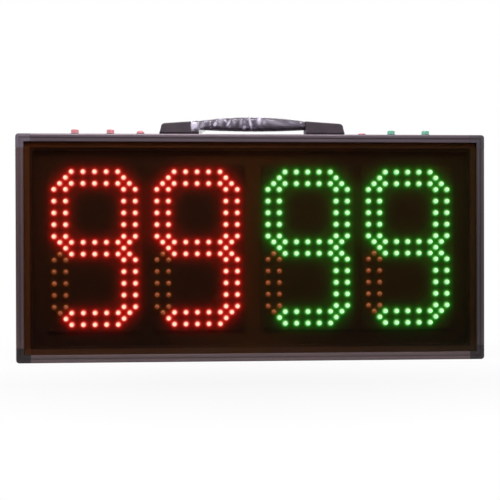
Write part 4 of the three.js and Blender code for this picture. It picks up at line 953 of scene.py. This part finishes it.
for side, word in ((-1, "left"), (1, "right")):
    points, faces = tube(half_places(GRIP_HALF, GRIP_STEPS, side), grip_point, GRIP_SIDES)
    grip = build(f"grip_{word}_half", points, faces, grip_look, sharp=35)
    blended(grip, side, "handle_grip")

    points, faces = tube(half_places(BAND_TIP, BAND_STEPS, side), band_point, 4)
    band = build(f"band_{word}_half", points, faces, steel_look, sharp=30)
    blended(band, side, "handle_band")

    end = FILM_OVER_CAP if side < 0 else FILM_HALF
    places = half_places(end, round(end / FILM_STEP), side)
    hazes_and_highlights = []
    points, faces = tube(places, lambda x, angle: film_point(x, angle, hazes_and_highlights), FILM_SIDES, capped=False)
    film = build(f"film_{word}_half", points, faces, film_look, sharp=180)
    mark(film, "haze_and_highlight", hazes_and_highlights)
    blended(film, side, "grip_film")

# Screws with a cross recess

HANDLE_SCREW = dict(head=4.2, rise=2.4, shank=2.5, length=21.0, slot=2.2, depth=1.5)
COVER_SCREW = dict(head=2.8, rise=1.7, shank=1.5, length=9.0, slot=1.5, depth=1.0)
HEAD_DOME, HEAD_ANGLES, SCREW_SIDES = 0.35, (0.35, 0.7, 1.05, 1.35), 32  # the dome's share of the head's rise
SLOT_WIDTH, SLOT_ABOVE = 0.24, 0.5  # the slot's width in lengths, and how far its cut starts above the head
SLOT_FLOOR_LENGTH, SLOT_FLOOR_WIDTH = 0.45, 0.8  # the slot's floor, in shares of its top


def screw_shape(size):
    """A screw that stands upright, with the top of its head at 0."""
    head, shank, seat, dome = size["head"], size["shank"], -size["rise"], size["rise"] * HEAD_DOME
    tip = seat - size["length"]
    profile = [(0, tip), (shank, tip), (shank, seat), (head, seat), (head, -dome)]
    profile += [(head * math.cos(a), dome * (math.sin(a) - 1)) for a in HEAD_ANGLES]
    return revolve(profile + [(0, 0)], SCREW_SIDES)


def slot_shape(size, turn):
    """One tapered slot of the cross, as the solid that is cut away from the top of the head."""
    long, wide = size["slot"], size["slot"] * SLOT_WIDTH
    points = []
    for level, x, y in (
        (SLOT_ABOVE, long, wide), (-size["depth"], long * SLOT_FLOOR_LENGTH, wide * SLOT_FLOOR_WIDTH)
    ):
        for sx, sy in ((-1, -1), (1, -1), (1, 1), (-1, 1)):
            px, py = sx * x, sy * y
            points.append(
                (px * math.cos(turn) - py * math.sin(turn), px * math.sin(turn) + py * math.cos(turn), level)
            )
    faces = [[0, 1, 2, 3], [7, 6, 5, 4], [0, 4, 5, 1], [1, 5, 6, 2], [2, 6, 7, 3], [3, 7, 4, 0]]
    return np.array(points, float), faces


def cut(obj, cutter):
    """Cuts one mesh out of another, and deletes the cutter."""
    modifier = obj.modifiers.new("recess", "BOOLEAN")
    modifier.object = cutter
    modifier.solver = "EXACT"
    bpy.context.view_layer.update()
    evaluated = obj.evaluated_get(bpy.context.evaluated_depsgraph_get())
    mesh = bpy.data.meshes.new_from_object(evaluated)
    obj.modifiers.clear()
    obj.data = mesh
    bpy.data.objects.remove(cutter)


def screw_at(node, size, backward):
    """A screw in a node's place, with its head upwards, or out of the back if backward is true."""
    out = 1 if backward else 2
    head_top = middle(node)
    head_top[out] = corners(node)[1][out]

    def laid(points):
        return (turned(points, False) if backward else points) + head_top

    points, faces = screw_shape(size)
    screw = build(node + "_cross", laid(points), faces, steel_look, sharp=35)
    for turn in (0, math.pi / 2):
        points, faces = slot_shape(size, turn)
        cut(screw, build("cutter", laid(points), faces, steel_look))
    return screw


for word in ("left", "right"):
    screw = screw_at(f"handle_screw_{word}", HANDLE_SCREW, backward=False)
    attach(screw, "case")
    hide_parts(f"handle_screw_{word}")

for up in ("bottom", "top"):
    for word in ("left", "middle", "right"):
        screw = screw_at(f"cover_screw_{up}_{word}", COVER_SCREW, backward=True)
        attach(screw, "case")
        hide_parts(f"cover_screw_{up}_{word}")

# Charging socket: a flanged barrel with a bore and a centre contact, with heights out from the cover

SOCKET_RADIUS, SOCKET_FLOOR, SOCKET_LUG = 5.7, -17.5, 3.9
SOCKET_FLANGE, SOCKET_TOP, SOCKET_BEVEL = 7.5, 2.0, 0.5
SOCKET_MOUTH, SOCKET_MOUTH_DEPTH, SOCKET_BORE, SOCKET_BORE_FLOOR = 3.9, 0.4, 3.25, -8.0
CONTACT_RADIUS, CONTACT_TOP = 1.05, 1.25
CONTACT_ARC = dict(start=20, end=70, steps=3)
SOCKET_SIDES = 48
profile = [
    (0, SOCKET_FLOOR), (SOCKET_RADIUS, SOCKET_FLOOR), (SOCKET_RADIUS, FIT), (SOCKET_FLANGE, FIT),
    (SOCKET_FLANGE, SOCKET_TOP - SOCKET_BEVEL), (SOCKET_FLANGE - SOCKET_BEVEL, SOCKET_TOP),
    (SOCKET_MOUTH, SOCKET_TOP), (SOCKET_BORE, SOCKET_TOP - SOCKET_MOUTH_DEPTH),
    (SOCKET_BORE, SOCKET_BORE_FLOOR), (CONTACT_RADIUS, SOCKET_BORE_FLOOR),
    (CONTACT_RADIUS, CONTACT_TOP - CONTACT_RADIUS),
    *arc(0, CONTACT_TOP - CONTACT_RADIUS, CONTACT_RADIUS, **CONTACT_ARC), (0, CONTACT_TOP),
]
socket_x, _, socket_z = middle("charge_socket")
points, faces = merged([revolve(profile, SOCKET_SIDES), *lugs(SOCKET_RADIUS, SOCKET_FLOOR, SOCKET_LUG)])
place = (socket_x, COVER_Y, socket_z)
socket = build("charge_socket_barrel", turned(points, False) + place, faces, black_look, sharp=35)
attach(socket, "case")
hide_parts("charge_socket")

# Floor: pale by the board, dark towards the room's front, and fading into the background's white, in metres

FLOOR_REACH, FLOOR_FRONT = 5.0, -0.8
FLOOR_DARK, FLOOR_PALE, FLOOR_DARK_TO, FLOOR_PALE_FROM = 0.10, 0.86, -0.22, -0.06
FADE_FROM, FADE_TO, FADE_LEAST = 0.05, 0.5, 0.86
floor_mesh = bpy.data.meshes.new("floor")
floor_corners = [(-FLOOR_REACH, FLOOR_FRONT, 0), (FLOOR_REACH, FLOOR_FRONT, 0)]
floor_corners += [(FLOOR_REACH, FLOOR_REACH, 0), (-FLOOR_REACH, FLOOR_REACH, 0)]
floor_mesh.from_pydata(floor_corners, [], [[0, 1, 2, 3]])
floor = add_object("floor", floor_mesh)
floor_material = bpy.data.materials.new("floor")
ground = Tree(floor_material, "OutputMaterial")
ground_place = ground.node("TexCoord").outputs["Object"]
diffuse = ground.node("BsdfDiffuse")
pale = ground.ramp(ground.split(ground_place)["Y"], FLOOR_DARK, FLOOR_PALE, FLOOR_DARK_TO, FLOOR_PALE_FROM)
ground.link(pale, diffuse.inputs["Color"])
white = ground.node("Emission")
white.inputs["Strength"].default_value = 1.0
distance = ground.node("VectorMath", operation="LENGTH")
ground.link(ground_place, distance.inputs[0])
fade = ground.ramp(distance.outputs["Value"], FADE_LEAST, 1.0, FADE_FROM, FADE_TO)
seen = ground.reckon("MULTIPLY", ground.node("LightPath").outputs["Is Camera Ray"], fade)
ground.surface(seen, diffuse.outputs[0], white.outputs[0])
floor_mesh.materials.append(floor_material)

# Room: dim in front of the board, light elsewhere. Camera and window see white; gloss does except in front

ROOM_DIM, ROOM_LIGHT, DIM_TO, LIGHT_FROM = 0.04, 0.55, -0.85, -0.35
world = bpy.data.worlds.new("world")
bpy.context.scene.world = world
sky = Tree(world, "OutputWorld")
room, backdrop = sky.node("Background"), sky.node("Background")
backdrop.inputs["Color"].default_value = (*WHITE, 1)
backdrop.inputs["Strength"].default_value = 1.0
depth = sky.split(sky.node("TexCoord").outputs["Generated"])["Y"]
smooth = dict(start=DIM_TO, end=LIGHT_FROM, interpolation_type="SMOOTHSTEP")
sky.link(sky.ramp(depth, ROOM_DIM, ROOM_LIGHT, **smooth), room.inputs["Strength"])
rays = sky.node("LightPath").outputs
mirrored = sky.reckon("MULTIPLY", rays["Is Glossy Ray"], sky.ramp(depth, 0, 1, **smooth))
direct = sky.reckon("MAXIMUM", rays["Is Camera Ray"], rays["Is Transmission Ray"])
sky.surface(sky.reckon("MAXIMUM", direct, mirrored), room.outputs[0], backdrop.outputs[0])

# Lamps: place and size in metres, and watts. All point at the board's middle

LAMPS = {
    "key": ((-0.15, -0.62, 0.98), (0.9, 0.35), 10),
    "fill": ((1.7, -1.3, 1.0), (0.8, 0.8), 5),
    "back": ((0.6, 1.9, 1.5), (1.2, 0.8), 14),
}
LAMP_AIM = Vector((0, 0, 0.15))
for name, (place, size, watts) in LAMPS.items():
    data = bpy.data.lights.new(name, "AREA")
    data.shape = "RECTANGLE"
    data.size, data.size_y = size
    data.energy = watts
    lamp = add_object(name, data)
    lamp.location = place
    lamp.rotation_euler = (LAMP_AIM - Vector(place)).to_track_quat("-Z", "Y").to_euler()
